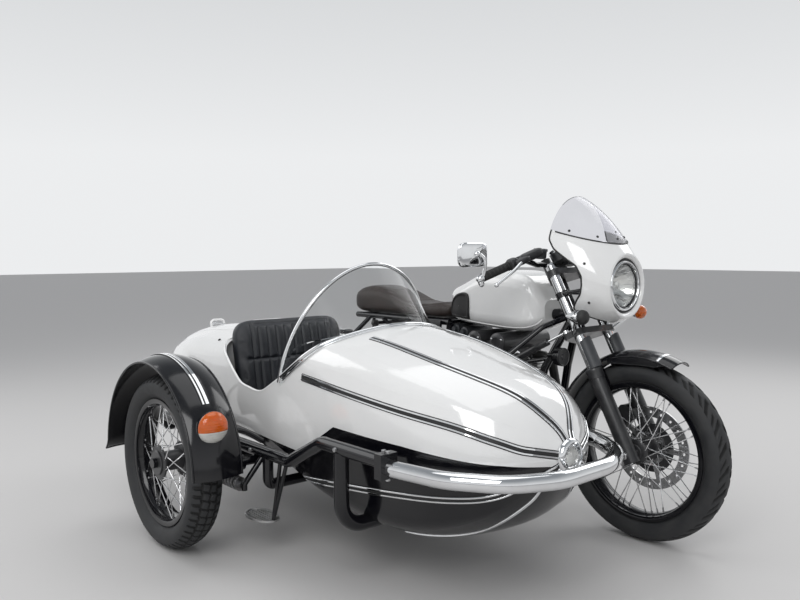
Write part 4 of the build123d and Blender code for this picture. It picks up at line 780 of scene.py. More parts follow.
def oval(shrink, height):
    """Points of the step's oval outline, drawn in by a share of its size, at a height over its middle."""
    size = 1 - shrink
    return step_place + swung(oval_turn, 84 * size * forward, 50 * size * leftward) + height * skyward


plate_rings = ((1, -4), (0, -4), (0, 2.5), (0.03, 4), (0.12, 4), (0.16, 0), (1, 0))
plate = np.stack([oval(shrink, height) for shrink, height in plate_rings])
ribs = []
for dy in np.linspace(-30, 30, 6):
    reach = 84 * 0.84 * np.sqrt(1 - (dy / 44) ** 2)
    ribs.append(carried(step_place + np.array([(-reach, dy, 0.5), (reach, dy, 0.5)]), 2.8, 8))
step_plate = make_piece("entry_step_plate", [plate, *ribs], cast_alloy)
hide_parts("entry_step")
step_struts = [carried([(top_x, -1130, 345), (752, -1130, 134)], 7, 12) for top_x in (800, 838)]
make_piece("entry_step_struts", step_struts, black_enamel)

# Tyres: black road rubber with moulded tread. The motorcycle's have slanted, hooked grooves from
# the shoulders, the sidecar's the square blocks of an older pattern; sidewalls carry plain ribs.
tyre_rubber = finish(
    "tyre_rubber", (0.02, 0.021, 0.023), (0.042, 0.042, 0.042), (0.58, 0.85), 14, 500, (0.3, 0.0008)
)
rim_wall = 5.0


def arc_through(start, middle, end, count):
    """Points on the circle through three points: angles run evenly from the first to the last."""
    (ax, ay), (bx, by), (cx, cy) = start, middle, end
    d = 2 * (ax * (by - cy) + bx * (cy - ay) + cx * (ay - by))
    ux = ((ax**2 + ay**2) * (by - cy) + (bx**2 + by**2) * (cy - ay) + (cx**2 + cy**2) * (ay - by)) / d
    uy = ((ax**2 + ay**2) * (cx - bx) + (bx**2 + by**2) * (ax - cx) + (cx**2 + cy**2) * (bx - ax)) / d
    angles = np.unwrap([np.arctan2(y - uy, x - ux) for x, y in (start, middle, end)])
    sweep = np.interp(np.linspace(0, 2, count), [0, 1, 2], angles)
    size = np.hypot(ax - ux, ay - uy)
    return np.stack([ux + size * np.cos(sweep), uy + size * np.sin(sweep)], -1)


shoulder_drop, shoulder_out = 0.16, 0.43


def crown_of(radius, width):
    """The tyre's crown, from shoulder to shoulder: a radius and an offset for each of its points."""
    shoulder, side = radius - shoulder_drop * width, shoulder_out * width
    return arc_through((shoulder, -side), (radius, 0), (shoulder, side), 44)


def tyre_grid(centre, radius, width, rim, rim_width, tread, steps=840):
    """Tyre skin: its section is carried round the axle, and the tread pattern is pressed inwards.

    tread(angle, offset) gives the groove depth in millimetres at an angle round the axle and an
    offset from the mid-plane as a share of half the width.
    """
    wide = rim + 0.42 * (radius - rim)
    shoulder = radius - shoulder_drop * width
    bead = rim_width / 2 - rim_wall - 2.3
    wall_low = arc_through((rim + 2, -bead), (wide, -width / 2), (shoulder, -shoulder_out * width), 10)
    foot = [(rim - 13, 0), (rim - 13, -bead)]
    half_skin = np.concatenate([foot, wall_low])
    section = np.concatenate([half_skin, crown_of(radius, width)[1:-1], half_skin[::-1] * (1, -1)])
    angle = np.linspace(0, 2 * np.pi, steps + 1)
    share = np.clip(section[:, 1] / (shoulder_out * width), -1, 1)
    on_tread = section[:, 0] > shoulder - 0.5
    depth = tread(angle[:, None], share[None, :]) * on_tread[None, :]
    ribs = 0.7 * np.cos((section[:, 0] - rim) * 1.1) * (~on_tread & (section[:, 0] > rim + 8))
    size = section[None, :, 0] - depth
    y = np.broadcast_to(section[:, 1] + np.sign(section[:, 1]) * ribs * 0.5, size.shape)
    grid = np.stack([size * np.cos(angle)[:, None], y, size * np.sin(angle)[:, None]], -1)
    return np.asarray(centre, float) + grid


def groove(phase, half_width):
    """One where a phase, in turns, lies within half a groove's width of a whole number, else zero."""
    away = np.abs(phase - np.round(phase))
    return np.clip((half_width * 1.35 - away) / (half_width * 0.35), 0, 1)


def hooked_tread(angle, offset):
    """Hooked grooves: repeats round the tyre, led back along each side by the offset squared."""
    turns = angle / (2 * np.pi)
    side = np.abs(offset)
    long_ones = groove(26 * turns + 0.62 * side**1.6 + 0.25 * (offset > 0),
                       0.12) * (side > 0.12) * (side < 0.96)
    short_ones = groove(26 * turns + 0.5 + 0.75 * side**1.6 + 0.25 * (offset > 0),
                        0.1) * (side > 0.42) * (side < 0.9)
    return 5.5 * np.maximum(long_ones, short_ones)


def block_tread(angle, offset):
    """Square blocks: three wavy grooves round the tyre and cross cuts on its shoulders."""
    turns = angle / (2 * np.pi)
    wave = 0.035 * np.sin(2 * np.pi * 60 * turns)
    rings = sum(np.clip((0.07 - np.abs(offset - place - wave)) / 0.02, 0, 1) for place in (-0.52, 0.0, 0.52))
    cuts = groove(60 * turns + 0.1 * np.sign(offset), 0.17) * (np.abs(offset) > 0.5)
    sipes = 0.8 * groove(60 * turns + 0.5 + 0.4 * offset, 0.1) * (np.abs(offset) <= 0.5)
    return 6 * np.clip(np.maximum(np.maximum(rings, cuts), sipes), 0, 1)


wheels = {"front": ((1493.0, 0.0, 331.0), 331.0, 100.0, 255.0, 76.0, hooked_tread, "front_wheel_set",
                    "front_tyre"), "rear": ((0.0, 0.0, 320.0), 320.0, 130.0, 229.0, 92.0, hooked_tread,
                                            "rear_wheel_set", "rear_tyre"),
          "sidecar": ((400.0, -1344.0, 313.0), 313.0, 120.0, 229.0, 84.0, block_tread, "sidecar_wheel_set",
                      "sidecar_tyre")}
rubber_tree = tyre_rubber.node_tree
rubber_colour = rubber_tree.nodes["Principled BSDF"].inputs["Base Color"]
# Painted shade: the tyre's colour is mixed towards near black in the tread grooves, standing in for the shade
# that falls in the recesses.
painted_groove_shade = wired(rubber_tree, "Attribute", attribute_name="painted_groove_shade")
painted_shade_mix = wired(
    rubber_tree, "Mix", {"Factor": painted_groove_shade.outputs["Fac"], "A": rubber_colour.links[0].from_socket,
                         "B": (0.002, 0.002, 0.002, 1)}, data_type="RGBA",
)
rubber_tree.links.new(painted_shade_mix.outputs["Result"], rubber_colour)
for name, (centre, radius, width, rim, rim_width, tread, body, node) in wheels.items():
    tyre = make_piece(
        name + "_treaded_tyre", [tyre_grid(centre, radius, width, rim, rim_width, tread)], tyre_rubber, body,
        sharp=50,
    )
    places = np.empty(len(tyre.data.vertices) * 3)
    tyre.data.vertices.foreach_get("co", places)
    places = places.reshape(-1, 3) * 1000 + outfit_origin - centre
    crown = crown_of(radius, width)
    # Painted shade in the grooves: the deeper a place lies under the crown, the more its colour is darkened.
    below = np.interp(places[:, 1], crown[:, 1], crown[:, 0]) - np.hypot(places[:, 0], places[:, 2])
    shade = np.clip(below / 4 - 0.2, 0, 1) * (np.abs(places[:, 1]) < 0.42 * width) * (below < 7)
    tyre.data.attributes.new("painted_groove_shade", "FLOAT", "POINT").data.foreach_set("value", shade)
    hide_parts(node)

# Wire wheels: rolled steel rims in black gloss, black alloy hubs, and forty stainless spokes with
# hexagon nipples, laced to cross on the way from the hub's flanges to the rim's well.
black_alloy = finish(
    "black_alloy", (0.02, 0.02, 0.022), (0.04, 0.04, 0.041), (0.34, 0.5), 20, 500, (0.25, 0.0008),
    Coat_Weight=0.25,
)
spoke_steel = finish(
    "spoke_steel", (0.75, 0.75, 0.76), (0.6, 0.6, 0.6), (0.12, 0.26), 40, 700, (0.05, 0.0004), Metallic=1.0,
    slot="bright_steel",
)
hubs = {
    "front": (112.0, 28.0, 46.0, 12.6, "front_wheel"),
    "rear": (150.0, 45.0, 66.0, 10.1, "rear_wheel"),
    "sidecar": (110.0, 45.0, 62.0, 12.1, "sidecar_wheel"),
}
for name, (hub_width, hub_radius, flange, bore, node) in hubs.items():
    centre, _, _, rim, rim_width, _, body, _ = wheels[name]
    half, well, seat = rim_width / 2, rim - 26, rim - 14.3
    half_rim = [(half - 5, rim - 0.6), (half - 2.5, rim), (half, rim - 1.5), (half, seat - 1),
                (half - 2, seat - 4), (half * 0.62, seat - 5), (half * 0.5, well + 3), (half * 0.34, well),
                (0, well)]
    inner = [(0, well + 5), (half * 0.35, well + 5), (half * 0.5, seat), (half - 7, seat),
             (half - 5, seat + 4), (half - 5, rim - 0.6)]
    lower = [(-y, r) for y, r in half_rim[::-1]][1:]
    under = [(-y, r) for y, r in inner[::-1]]
    profile = inner + half_rim[1:] + lower + under[1:]
    rim_piece = make_piece(name + "_rim", [turned(profile, centre, leftward, 180)], black_enamel, body)
    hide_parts(node)
    flange_y = hub_width / 2 - 12
    barrel = hub_radius * 0.8
    hub_profile = [(-hub_width / 2, bore), (-hub_width / 2, hub_radius - 2), (-hub_width / 2 + 2, hub_radius),
                   (-flange_y - 6, hub_radius), (-flange_y - 3.5, flange - 1), (-flange_y - 2.5, flange),
                   (-flange_y + 2.5, flange), (-flange_y + 3.5, flange - 1), (-flange_y + 7, barrel + 2),
                   (-flange_y + 12, barrel)]
    hub_profile += [(-y, r) for y, r in hub_profile[::-1]]
    hub_profile.append(hub_profile[0])
    make_piece(name + "_hub", [turned(hub_profile, centre, leftward, 72)], black_alloy, body)
    lacing, nipples = [], []
    for side in (-1, 1):
        for lean in (-1, 1):
            for k in range(10):
                begin = k * 36 + (side + 1) * 4.5 + (lean + 1) * 9
                low = (flange - 5) * hooped(begin) + side * (flange_y + lean * 2.6) * leftward
                high = (well + 1) * hooped(begin + lean * 42) + side * half * 0.25 * leftward
                reach = unit(high - low)
                lacing.append(np.array(centre) + np.array([low, low + reach * 4, high]))
                nipples.append((np.array(centre) + high - reach * 16, reach))
    make_piece(name + "_spokes", [carried(path, 1.9, 8) for path in lacing], spoke_steel, body)
    nipple = [(0, 1.9), (0.5, 3.1), (17, 3.1)]
    make_piece(
        name + "_nipples", [turned(nipple, place, reach, 6) for place, reach in nipples], bright_steel, body,
        sharp=25,
    )

# Fork: hard-chromed stanchions in black alloy yokes, black sliders with dust seals, and grey
# plastic half covers in front of the lower tubes; the yokes are pinched by socket screws.
steer_rake = np.radians(28)
leg_forward, leg_y = 331 * np.sin(steer_rake) - 110 * np.cos(steer_rake), 92.0
steer_up = np.array([-np.sin(steer_rake), 0, np.cos(steer_rake)])
steer_ahead = np.array([np.cos(steer_rake), 0, np.sin(steer_rake)])


def on_fork(forward, left, height):
    """Place from the steering axis: distances ahead of it, to its left and up along it."""
    return np.array([1603.0, 0, 0]) + forward * steer_ahead + left * leftward + height * steer_up


dress(chrome, "stanchions", "damper_rod")
dress(black_alloy, "fork_yokes", "fork_sliders", "front_caliper", "damper_body")
dress(bright_steel, "front_axle", "brake_disc")
cover_plastic = finish(
    "cover_plastic", (0.04, 0.043, 0.048), (0.065, 0.067, 0.072), (0.4, 0.55), 12, 420, (0.2, 0.0006),
    slot="black_plastic",
)
seals, covers, caps, pinches = [], [], [], []
seal = [(636, 29), (637, 31), (660, 31.6), (664, 33), (674, 33), (678, 30), (682, 24), (684, 20.6)]
arc, rise = np.meshgrid(np.radians(np.linspace(-86, 86, 40)), np.linspace(0, 1, 26))
cover_ring = swung(arc, steer_ahead, leftward)
cover_height = (676 + (106 + 14 * np.cos(arc)) * rise)[..., None] * steer_up
for hand in (-1, 1):
    foot = on_fork(leg_forward, hand * leg_y, 0)
    seals.append(turned(seal, foot, steer_up, 48))
    cover_foot = foot + 8 * steer_ahead
    covers += walled(cover_foot + 30 * cover_ring + cover_height, cover_foot + 27 * cover_ring + cover_height)
    caps.append(turned([(1103, 21), (1108, 21), (1110, 19), (1110, 13)], foot, steer_up, 40))
    caps.append(turned([(1110, 13), (1119, 13), (1120, 11.5), (1120, 0)], foot, steer_up, 6))
    pinches += [on_fork(leg_forward - 27, hand * (leg_y - inset), level)
                for level in (824, 1077) for inset in (14, 30)]
make_piece("fork_seals", seals, black_alloy, "fork")
make_piece("fork_covers", covers, cover_plastic, "fork")
make_piece("fork_caps", caps, chrome, "fork", sharp=25)
socket_head = [(-4, 5.5), (6, 5.5), (7, 4.8), (7, 3), (4, 2.8), (4, 0)]
make_piece(
    "yoke_screws", [turned(socket_head, place, -steer_ahead, 16) for place in pinches], bright_steel, "fork"
)
front_axle_place = np.array([1493.0, 0, 331.0])
axle_nut = [(124, 13), (126, 17), (134, 17), (136, 15), (136, 8.6), (124, 8.6)]
axle_nuts = [turned(axle_nut, front_axle_place, hand * leftward, 6) for hand in (-1, 1)]
make_piece("front_axle_nuts", axle_nuts, bright_steel, "fork", sharp=25)

# Front brake: a steel disc, bolted with its black carrier to the hub, and a two-pot caliper.
carrier_bolts = front_axle_place + 57.5 * leftward + 52 * hooped(np.arange(6) * 60 + 15)
make_piece("disc_bolts", studs(carrier_bolts, [leftward] * 6, 7, 5), bright_steel, "front_wheel_set")
carrier = turned(
    [(56.6, 40), (56.6, 92), (59, 92), (60, 88), (60, 60), (58, 40)], front_axle_place, leftward, 72
)
make_piece("disc_carrier", [carrier], black_alloy, "front_wheel_set")
pot = [(-1, 19), (3, 19), (5, 17), (5, 9), (7, 8), (7, 0)]
pots = [turned(pot, (x, 87, z), leftward, 40) for x, z in ((1352, 404), (1388, 446))]
make_piece("caliper_pots", pots, cast_alloy, "fork")

# Front mudguard: pressed steel in black gloss with wired edges, a skirt on each side behind the
# fork leg and a bright band near its tip.
dress(black_enamel, "front_mudguard")
band_y = np.linspace(-57, 57, 40)
mudguard_arch = (60**2 + 22**2) / 44
band_size = 374 - mudguard_arch + np.sqrt(mudguard_arch**2 - band_y**2)
tip_away = hooped(76)
band_path = front_axle_place + band_size[:, None] * tip_away + band_y[:, None] * leftward
band_out = unit(tip_away + (band_y / mudguard_arch)[:, None] * leftward)
make_piece("mudguard_band", [straps(band_path, band_out, -6, 6, 1.6)], chrome, "fork")
side_wire = front_axle_place + 351 * hooped(np.linspace(66.5, 163.5, 100))
wires = [carried(side_wire + hand * 59.5 * leftward, 2.8, 10) for hand in (-1, 1)]
skirt_turn = np.linspace(70, 110, 60)
skirt_foot = np.interp(
    skirt_turn, (70, 72, 76.5, 85, 96.5, 107, 110), (352, 347, 331, 324.5, 322.5, 332, 340)
)
skirt_size = skirt_foot[:, None] + (353 - skirt_foot[:, None]) * np.linspace(0, 1, 6)
skirt = front_axle_place + skirt_size[..., None] * hooped(skirt_turn)[:, None]
skirts = []
for hand in (-1, 1):
    skirts += walled(skirt + hand * 60.9 * leftward, skirt + hand * 59.3 * leftward)
    wires.append(carried(skirt[:, 0] + hand * 60 * leftward, 2.4, 10))
for turn in (66, 164):
    tip_wire = front_axle_place + band_y[:, None] * leftward + (band_size - 1.5)[:, None] * hooped(turn)
    wires.append(carried(tip_wire, 2.8, 10))
make_piece("mudguard_skirts", skirts, black_enamel, "fork")
make_piece("mudguard_wired_edge", wires, black_enamel, "fork")

# Half fairing: a white glass-fibre moulding, black rubber on its rear edge, held by black button
# screws; its screen is smoked acrylic on a black strip with five screws.
take_skins("fairing", "fairing_screen", "fuel_tank")
dress(white_enamel, "fairing", "fuel_tank")
dress(black_enamel, "fairing_bracket")
smoked_sheet = finish(
    "smoked_sheet", (0.8, 0.8, 0.83), (0.76, 0.76, 0.79), (0.0, 0.03), 6, 240, (0.01, 0.0005), IOR=1.08,
    Transmission_Weight=1.0,
)
dress(smoked_sheet, "fairing_screen")
fairing_edge = [(1198, 1146), (1198, 1110), (1222, 1075), (1264, 1045), (1312, 1012), (1332, 973),
                (1332, 940), (1323, 907), (1293, 872), (1278, 852), (1286, 837), (1314, 825), (1347, 810),
                (1362, 802)]
edge_line = evenly(rounded(fairing_edge, 9, 6), 110)
edge_trims = []
for hand in (-1, 1):
    starts = [(x + 2, hand * 400, z) for x, z in edge_line]
    places, normals = eased(*laid_on(["fairing"], starts, -hand * leftward))
    edge_trims.append(carried(places - (0, hand * 2, 0), 3.8, 10))
make_piece("fairing_edge_rubber", edge_trims, insert_rubber, "fork")
screen_slope = unit((244, 0, -69))


def on_dome(node, angles, lift):
    """Places and normals on the dome, met from outside by lines in the screen's foot plane."""
    outwards = swung(np.radians(angles), screen_slope, leftward)
    return laid_on([node], np.array([1200.0, 0, 1146.9 + lift]) + 500 * outwards, -outwards)


foot_seam, _ = eased(*on_dome("fairing", np.linspace(-84, 84, 90), -2.5))
make_piece("screen_foot_rubber", [carried(foot_seam, 3, 10)], insert_rubber, "fork")
screws = [on_dome("fairing_screen", (-66, -30, 0, 30, 66), 13)]
for hand in (-1, 1):
    screws.append(laid_on(["fairing"], [(1341, hand * 400, 1020), (1349, hand * 400, 876)], -hand * leftward))
screw_places, screw_normals = (np.concatenate(rows) for rows in zip(*screws))
make_piece("fairing_screws", studs(screw_places, screw_normals, 5.2, 3.2), insert_rubber, "fork")
mouth_turn = np.linspace(0, 2 * np.pi, 121)
mouth_rings = [(1411, 115.6, 121.6), (1418.5, 114.8, 120.8), (1420, 111, 116), (1417, 105.5, 108),
               (1408, 101, 102), (1392, 100, 100.5), (1392, 103, 104), (1408, 108, 112), (1411, 115.6, 121.6)]
mouth = np.stack([
    np.stack([np.full_like(mouth_turn, x), wide * np.cos(mouth_turn), 936 + high * np.sin(mouth_turn)], -1)
    for x, wide, high in mouth_rings
])
make_piece("fairing_mouth", [mouth], white_enamel, "fork")

# Headlamp: a black shell, a rubber gasket, a chrome ring with a black one inside it, and a faceted
# reflector with its bulb cap behind a domed clear lens.
lamp_at = np.array([1382.0, 0, 936.0])
shell_profile = [(-105, 0), (-105, 40), (-60, 84), (-12, 93), (-12, 96), (12, 96), (12, 90), (-8, 88)]
headlamp_shell = make_piece(
    "headlamp_shell", [turned(shell_profile, lamp_at, forward, 72)], black_enamel, "fork"
)
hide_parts("headlamp")
gasket = [(8, 96), (20, 101.5), (26, 101), (28, 98), (26, 95.5), (8, 94)]
make_piece("headlamp_gasket", [turned(gasket, lamp_at, forward, 96)], insert_rubber, "fork")
ring = [(10, 96.5), (22, 96.5), (29, 94), (32, 90), (31, 86.5), (27, 84.5), (20, 84), (10, 84), (10, 96.5)]
make_piece("headlamp_ring", [turned(ring, lamp_at, forward, 96)], chrome, "fork")
dark_ring = [(12, 84.4), (24, 84.4), (24, 81), (14, 79.5), (12, 84.4)]
make_piece("headlamp_inner_ring", [turned(dark_ring, lamp_at, forward, 96)], black_alloy, "fork")
share, turn = np.meshgrid(np.linspace(0, 1, 30), np.linspace(0, 2 * np.pi, 193), indexing="ij")
facets = 1.6 * np.abs(np.sin(9 * turn)) * np.abs(np.sin(np.pi * 3.5 * share)) * share
reflector = np.stack([
    -66 + 80 * share**2 + facets, 81 * share * np.cos(turn), 81 * share * np.sin(turn)
], -1)
make_piece("headlamp_reflector", [lamp_at + reflector], chrome, "fork", sharp=12)
bulb = [(-60, 0), (-60, 15), (-30, 15), (-12, 17), (-8, 15), (-5, 0)]
make_piece("headlamp_bulb_cap", [turned(bulb, lamp_at, forward, 40)], chrome, "fork")
share = np.sqrt(np.linspace(0, 1, 24))
lens_out = np.stack([20 + 17 * (1 - share**2), 84 * share], -1)
lens_in = np.stack([17 + 17 * (1 - share**2), 84 * share], -1)[::-1]
make_piece(
    "headlamp_lens", [turned(np.concatenate([lens_out, lens_in]), lamp_at, forward, 96)], lamp_glass, "fork"
)

# Instruments: two black cups with chrome bezels, white marks and a red pointer behind flat glass,
# on bars over the upper yoke.
red_paint = finish(
    "red_paint", (0.7, 0.02, 0.01), (0.6, 0.02, 0.01), (0.3, 0.4), 20, 400, (0.02, 0.0003), slot="lamp_lens"
)
cup = [(1108, 0), (1108, 30), (1114, 39), (1150, 41), (1156, 41), (1156, 38), (1148, 37), (1148, 0)]
bezel_ring = [(1150, 41.2), (1156, 43.4), (1161, 43), (1162.5, 40), (1160, 37.6), (1155, 37.6), (1150, 41.2)]
cups, bezels, marks, needles, panes = [], [], [], [], []
for hand in (-1, 1):
    base = on_fork(leg_forward + 34, hand * 50, 0)
    cups.append(turned(cup, base, steer_up, 56))
    cups.append(
        carried([on_fork(leg_forward, hand * 84, 1107), on_fork(leg_forward + 34, hand * 20, 1107)], 6, 12)
    )
    bezels.append(turned(bezel_ring, base, steer_up, 56))
    panes.append(turned([(1157, 0), (1157, 38), (1159, 38), (1159, 0)], base, steer_up, 48))
    for k, angle in enumerate(np.radians(np.linspace(-130, 130, 27))):
        spoke = np.sin(angle) * leftward + np.cos(angle) * steer_ahead
        long_mark = 8 if k % 4 == 0 else 5
        mark = base + np.outer((34 - long_mark, 34), spoke) + steer_up * 1149
        marks.append(carried(mark, 0.7, 4))
    pointer = unit(-0.6 * leftward * hand - steer_ahead)
    needles.append(carried([base + steer_up * 1151, base + pointer * 29 + steer_up * 1151], (1.6, 0.7), 6))
gauge_cups = make_piece("gauge_cups", cups, black_alloy, "fork")
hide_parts("gauges")
make_piece("gauge_bezels", bezels, chrome, "fork")
make_piece("gauge_marks", marks, white_enamel, "fork")
make_piece("gauge_needles", needles, red_paint, "fork")
make_piece("gauge_glass", panes, clear_sheet, "fork")

# Handlebar controls: a black steel bar, ribbed rubber grips, switch housings, ball-ended levers,
# and the brake's fluid reservoir on the right; bar-end mirrors in chrome on curved stems.
dress(black_enamel, "handlebar")
along_grip = np.linspace(-127, 0, 128)
ribbed = (along_grip < -6) * (along_grip > -118)
rib_size = 16 + 0.9 * np.clip(np.cos(along_grip * 2 * np.pi / 6.35) * 3, -1, 1) * ribbed
grip_profile = [(-127, 11.5), (-127, 19), (-122, 19), *np.stack([along_grip, rib_size], -1)[6:-3].tolist(),
                (0, 17), (0, 11.5)]
grips, boxes, lever_grids, heads, mirror_faces, stems, weights = [], [], [], [], [], [], []
mirror_way = np.array([1.0, 0, 0.12])
for hand in (-1, 1):
    bar_end, bar_inner = np.array([1046.0, hand * 385, 968]), np.array([1088.0, hand * 205, 1034])
    out = unit(bar_end - bar_inner)
    ahead_of_bar = unit(np.cross(skyward, out) * -hand)
    over_bar = unit(np.cross(out, ahead_of_bar) * hand)
    over_bar *= np.sign(over_bar[2])
    bar_axes = (out, over_bar, ahead_of_bar)
    grips.append(turned(grip_profile, bar_end, out, 40))
    switch_at = bar_end - out * 146
    boxes.append(cushion(switch_at, *bar_axes, (20, 23, 20), 0.45, 0.5, 32, 16))
    boxes.append(
        cushion(switch_at + ahead_of_bar * -14 + over_bar * 8, *bar_axes, (9, 6, 12), 0.4, 0.5, 20, 10)
    )
    clamp_at = bar_end - out * 176
    boxes.append(turned([(-12, 11.2), (-12, 17), (12, 17), (12, 11.2)], clamp_at, out, 32))
    boxes.append(
        cushion(clamp_at + ahead_of_bar * 24 + over_bar * 2, *bar_axes, (34, 13, 15), 0.5, 0.6, 32, 16)
    )
    pivot = clamp_at + ahead_of_bar * 34 + out * 16
    ball = np.array([1103.0, hand * 372, 941])
    blade = smooth_path([pivot, pivot * 0.62 + ball * 0.38 + ahead_of_bar * 9, ball], 26)
    lever_grids.append(carried(blade, np.linspace(7.5, 5, 26), 12))
    lever_grids.append(cushion(ball, *np.eye(3), (9, 9, 9), 1.0, 1.0, 24, 14))
    weights.append(turned([(0.5, 10), (2, 14), (12, 15.5), (22, 13), (28, 7), (29, 0)], bar_end, out, 40))
    weights.append(cushion(bar_end + out * 14 - over_bar * 12, *bar_axes, (12, 21, 11), 0.9, 0.9, 28, 16))
    mirror_at = np.array([1036.0, hand * 430, 1053])
    stem_path = smooth_path(
        [bar_end + out * 14 - over_bar * 14, (1056, hand * 390, 988), (1063, hand * 391, 1030),
         (1060, hand * 412, 1054), (1050, hand * 424, 1056)], 44,
    )
    stems.append(carried(stem_path, np.linspace(7.5, 5, 44), 14))
    stems.append(cushion((1052, hand * 422, 1056), *np.eye(3), (9, 12, 12), 1.0, 1.0, 24, 14))
    perch_at = np.array([1101.0, hand * 172, 1050])
    boxes.append(cushion(perch_at, *bar_axes, (54, 18, 20), 0.5, 0.6, 36, 18))
    boxes.append(turned([(-9, 11.2), (-9, 19), (9, 19), (9, 11.2)], bar_inner + out * 14, out, 32))
    heads.append(cushion(mirror_at, leftward, skyward, mirror_way, (73, 46, 15), 0.38, 0.6, 72, 30))
    mirror_faces.append(
        cushion(mirror_at - (12, 0, 1.4), leftward, skyward, mirror_way, (66, 40, 5), 0.38, 0.3, 60, 12)
    )
rubber_grips = make_piece("rubber_grips", grips, insert_rubber, "fork", sharp=50)
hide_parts("grips")
make_piece("switch_housings", boxes, black_alloy, "fork")
lever_blades = make_piece("lever_blades", lever_grids, chrome, "fork")
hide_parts("levers")
mirror_heads = make_piece("mirror_heads", heads + stems + weights, chrome, "fork")
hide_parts("mirrors")
mirror_glass = finish(
    "mirror_glass", (0.3, 0.31, 0.33), (0.28, 0.29, 0.31), (0.02, 0.05), 8, 300, (0.01, 0.0003), Metallic=1.0,
    slot="chrome_plate",
)
make_piece("mirror_faces", mirror_faces, mirror_glass, "fork")
pot = [(-22, 0), (-22, 20), (-16, 24), (8, 25), (8, 28), (15, 28), (18, 26), (18, 0)]
make_piece("brake_reservoir", [turned(pot, (1101, -116, 1058), (0.08, 0, 1), 48)], cover_plastic, "fork")

# Front indicators: chrome bullets on chrome stems, amber on the left; the right one is blanked off
# with a black cap, because the sidecar carries that side's lamp.
bullets = []
bullet = [(-62, 0), (-60, 6), (-44, 14), (-16, 25), (0, 28.5), (4, 28.5), (5, 26)]
cap_profile = [(3, 27.5), (10, 28), (20, 26), (28, 20), (33, 10), (34, 0)]
for hand, lens_finish, name in ((1, amber_glass, "indicator_lens"), (-1, insert_rubber, "indicator_cap")):
    place = np.array([1345.0, hand * 190, 825])
    bullets.append(turned(bullet, place, forward, 48))
    bullets.append(carried([on_fork(leg_forward, hand * 121, 824), place - (16, 0, 0)], 7, 14))
    make_piece(name, [turned(cap_profile, place, forward, 48)], lens_finish, "fork")
indicator_bodies = make_piece("indicator_bodies", bullets, chrome, "fork")
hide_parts("front_indicators")

# Fuel tank: pressed steel in white enamel with a rolled seam along its foot, rubber knee pads with
# a raised rim, and a chrome filler cap.
tank_side = 300
tank_foot = np.array(
    [(575, 788), (610, 768), (740, 750), (870, 742), (975, 740), (1030, 746), (1064, 760), (1080, 778)]
)
foot_curve = smooth_path(tank_foot, 70)
pad_corners = [(606, 781), (660, 778), (716, 775), (728, 786), (730, 830), (727, 874), (712, 889), (682, 889),
               (648, 877), (618, 848), (600, 812), (597, 791)]
pad_loop = evenly(smooth_path(pad_corners, 200, closed=True), 97)
pad_middle = np.array([668.0, 832.0])
pad_rings = [(0, 4.2), (0.3, 4.2), (0.6, 4.2), (0.76, 4.4), (0.8, 5), (0.83, 8), (0.88, 9), (0.95, 8.6),
             (0.99, 6), (1.0, 0.5)]
seams_low, pads = [], []
for hand in (-1, 1):
    starts = [(x, hand * tank_side, z + 15) for x, z in foot_curve]
    seams_low.append(carried(eased(*laid_on(["fuel_tank"], starts, -hand * leftward))[0], 3.4, 10))
    rings = []
    for share, height in pad_rings:
        spots = pad_middle + (pad_loop - pad_middle) * max(share, 0.02)
        places, _ = laid_on(["fuel_tank"], [(x, hand * tank_side, z) for x, z in spots], -hand * leftward)
        rings.append(places + hand * height * leftward)
    pads.append(np.stack(rings))
make_piece("tank_seam", seams_low, white_enamel)
knee_rubber = make_piece("knee_rubbers", pads, insert_rubber, sharp=60)
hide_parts("knee_pads")
filler = [(-6, 34), (2, 34), (4, 32), (5, 28), (12, 27), (15, 24), (16, 0)]
make_piece("tank_filler", [turned(filler, (820, 0, 979), (0.03, 0, 1), 56)], chrome)

# Rider's seat: dark brown leather over foam, dipped for the rider and raised behind, with seams
# along both edges of the top and two across; under it, side panels held by screws.
brown_leather = finish(
    "brown_leather", (0.022, 0.015, 0.013), (0.042, 0.03, 0.025), (0.4, 0.56), 9, 60, (0.35, 0.0006), sewn,
    slot="dark_leather",
)
seat_line = np.array(
    [(556, 842), (470, 832), (385, 824), (290, 834), (215, 858), (140, 882), (40, 896), (-80, 890),
     (-128, 850)],
)
seat_curve = smooth_path(seat_line[::-1], 200)
station, girth = np.meshgrid(np.linspace(-1, 1, 80), np.linspace(0, 2 * np.pi, 65), indexing="ij")
seat_x = 214 + 340 * station
seat_top = np.interp(seat_x, seat_curve[:, 0], seat_curve[:, 1]) - 3
taper = np.clip(1 - np.abs(station) ** 14, 0, 1) ** 0.33
seat_width = (118 - 22 * np.clip((seat_x - 380) / 180, 0, 1)) * taper
seat_middle, seat_rise = (seat_top + 768) / 2, (seat_top - 768) / 2 * taper
rider_grid = np.stack([
    seat_x, seat_width * np.sign(np.cos(girth)) * np.abs(np.cos(girth)) ** 0.45,
    seat_middle + seat_rise * np.sign(np.sin(girth)) * np.abs(np.sin(girth)) ** 0.6,
], -1)
rider_grid[:, -1] = rider_grid[:, 0]


def rider_seams(places, normals):
    """Seams along both edges of the top, and across it before and behind the rider's dip."""
    edge = 92 - 20 * np.clip((places[:, 0] - 380) / 180, 0, 1)
    top = np.clip(normals[:, 2] * 1.8, 0, 1)
    along_edge = seam(np.abs(places[:, 1]) - edge, 6, 5)
    crossings = sum(seam(places[:, 0] - x, 6, 5) for x in (150, 300)) * (np.abs(places[:, 1]) < edge)
    return top * np.maximum(along_edge, crossings)


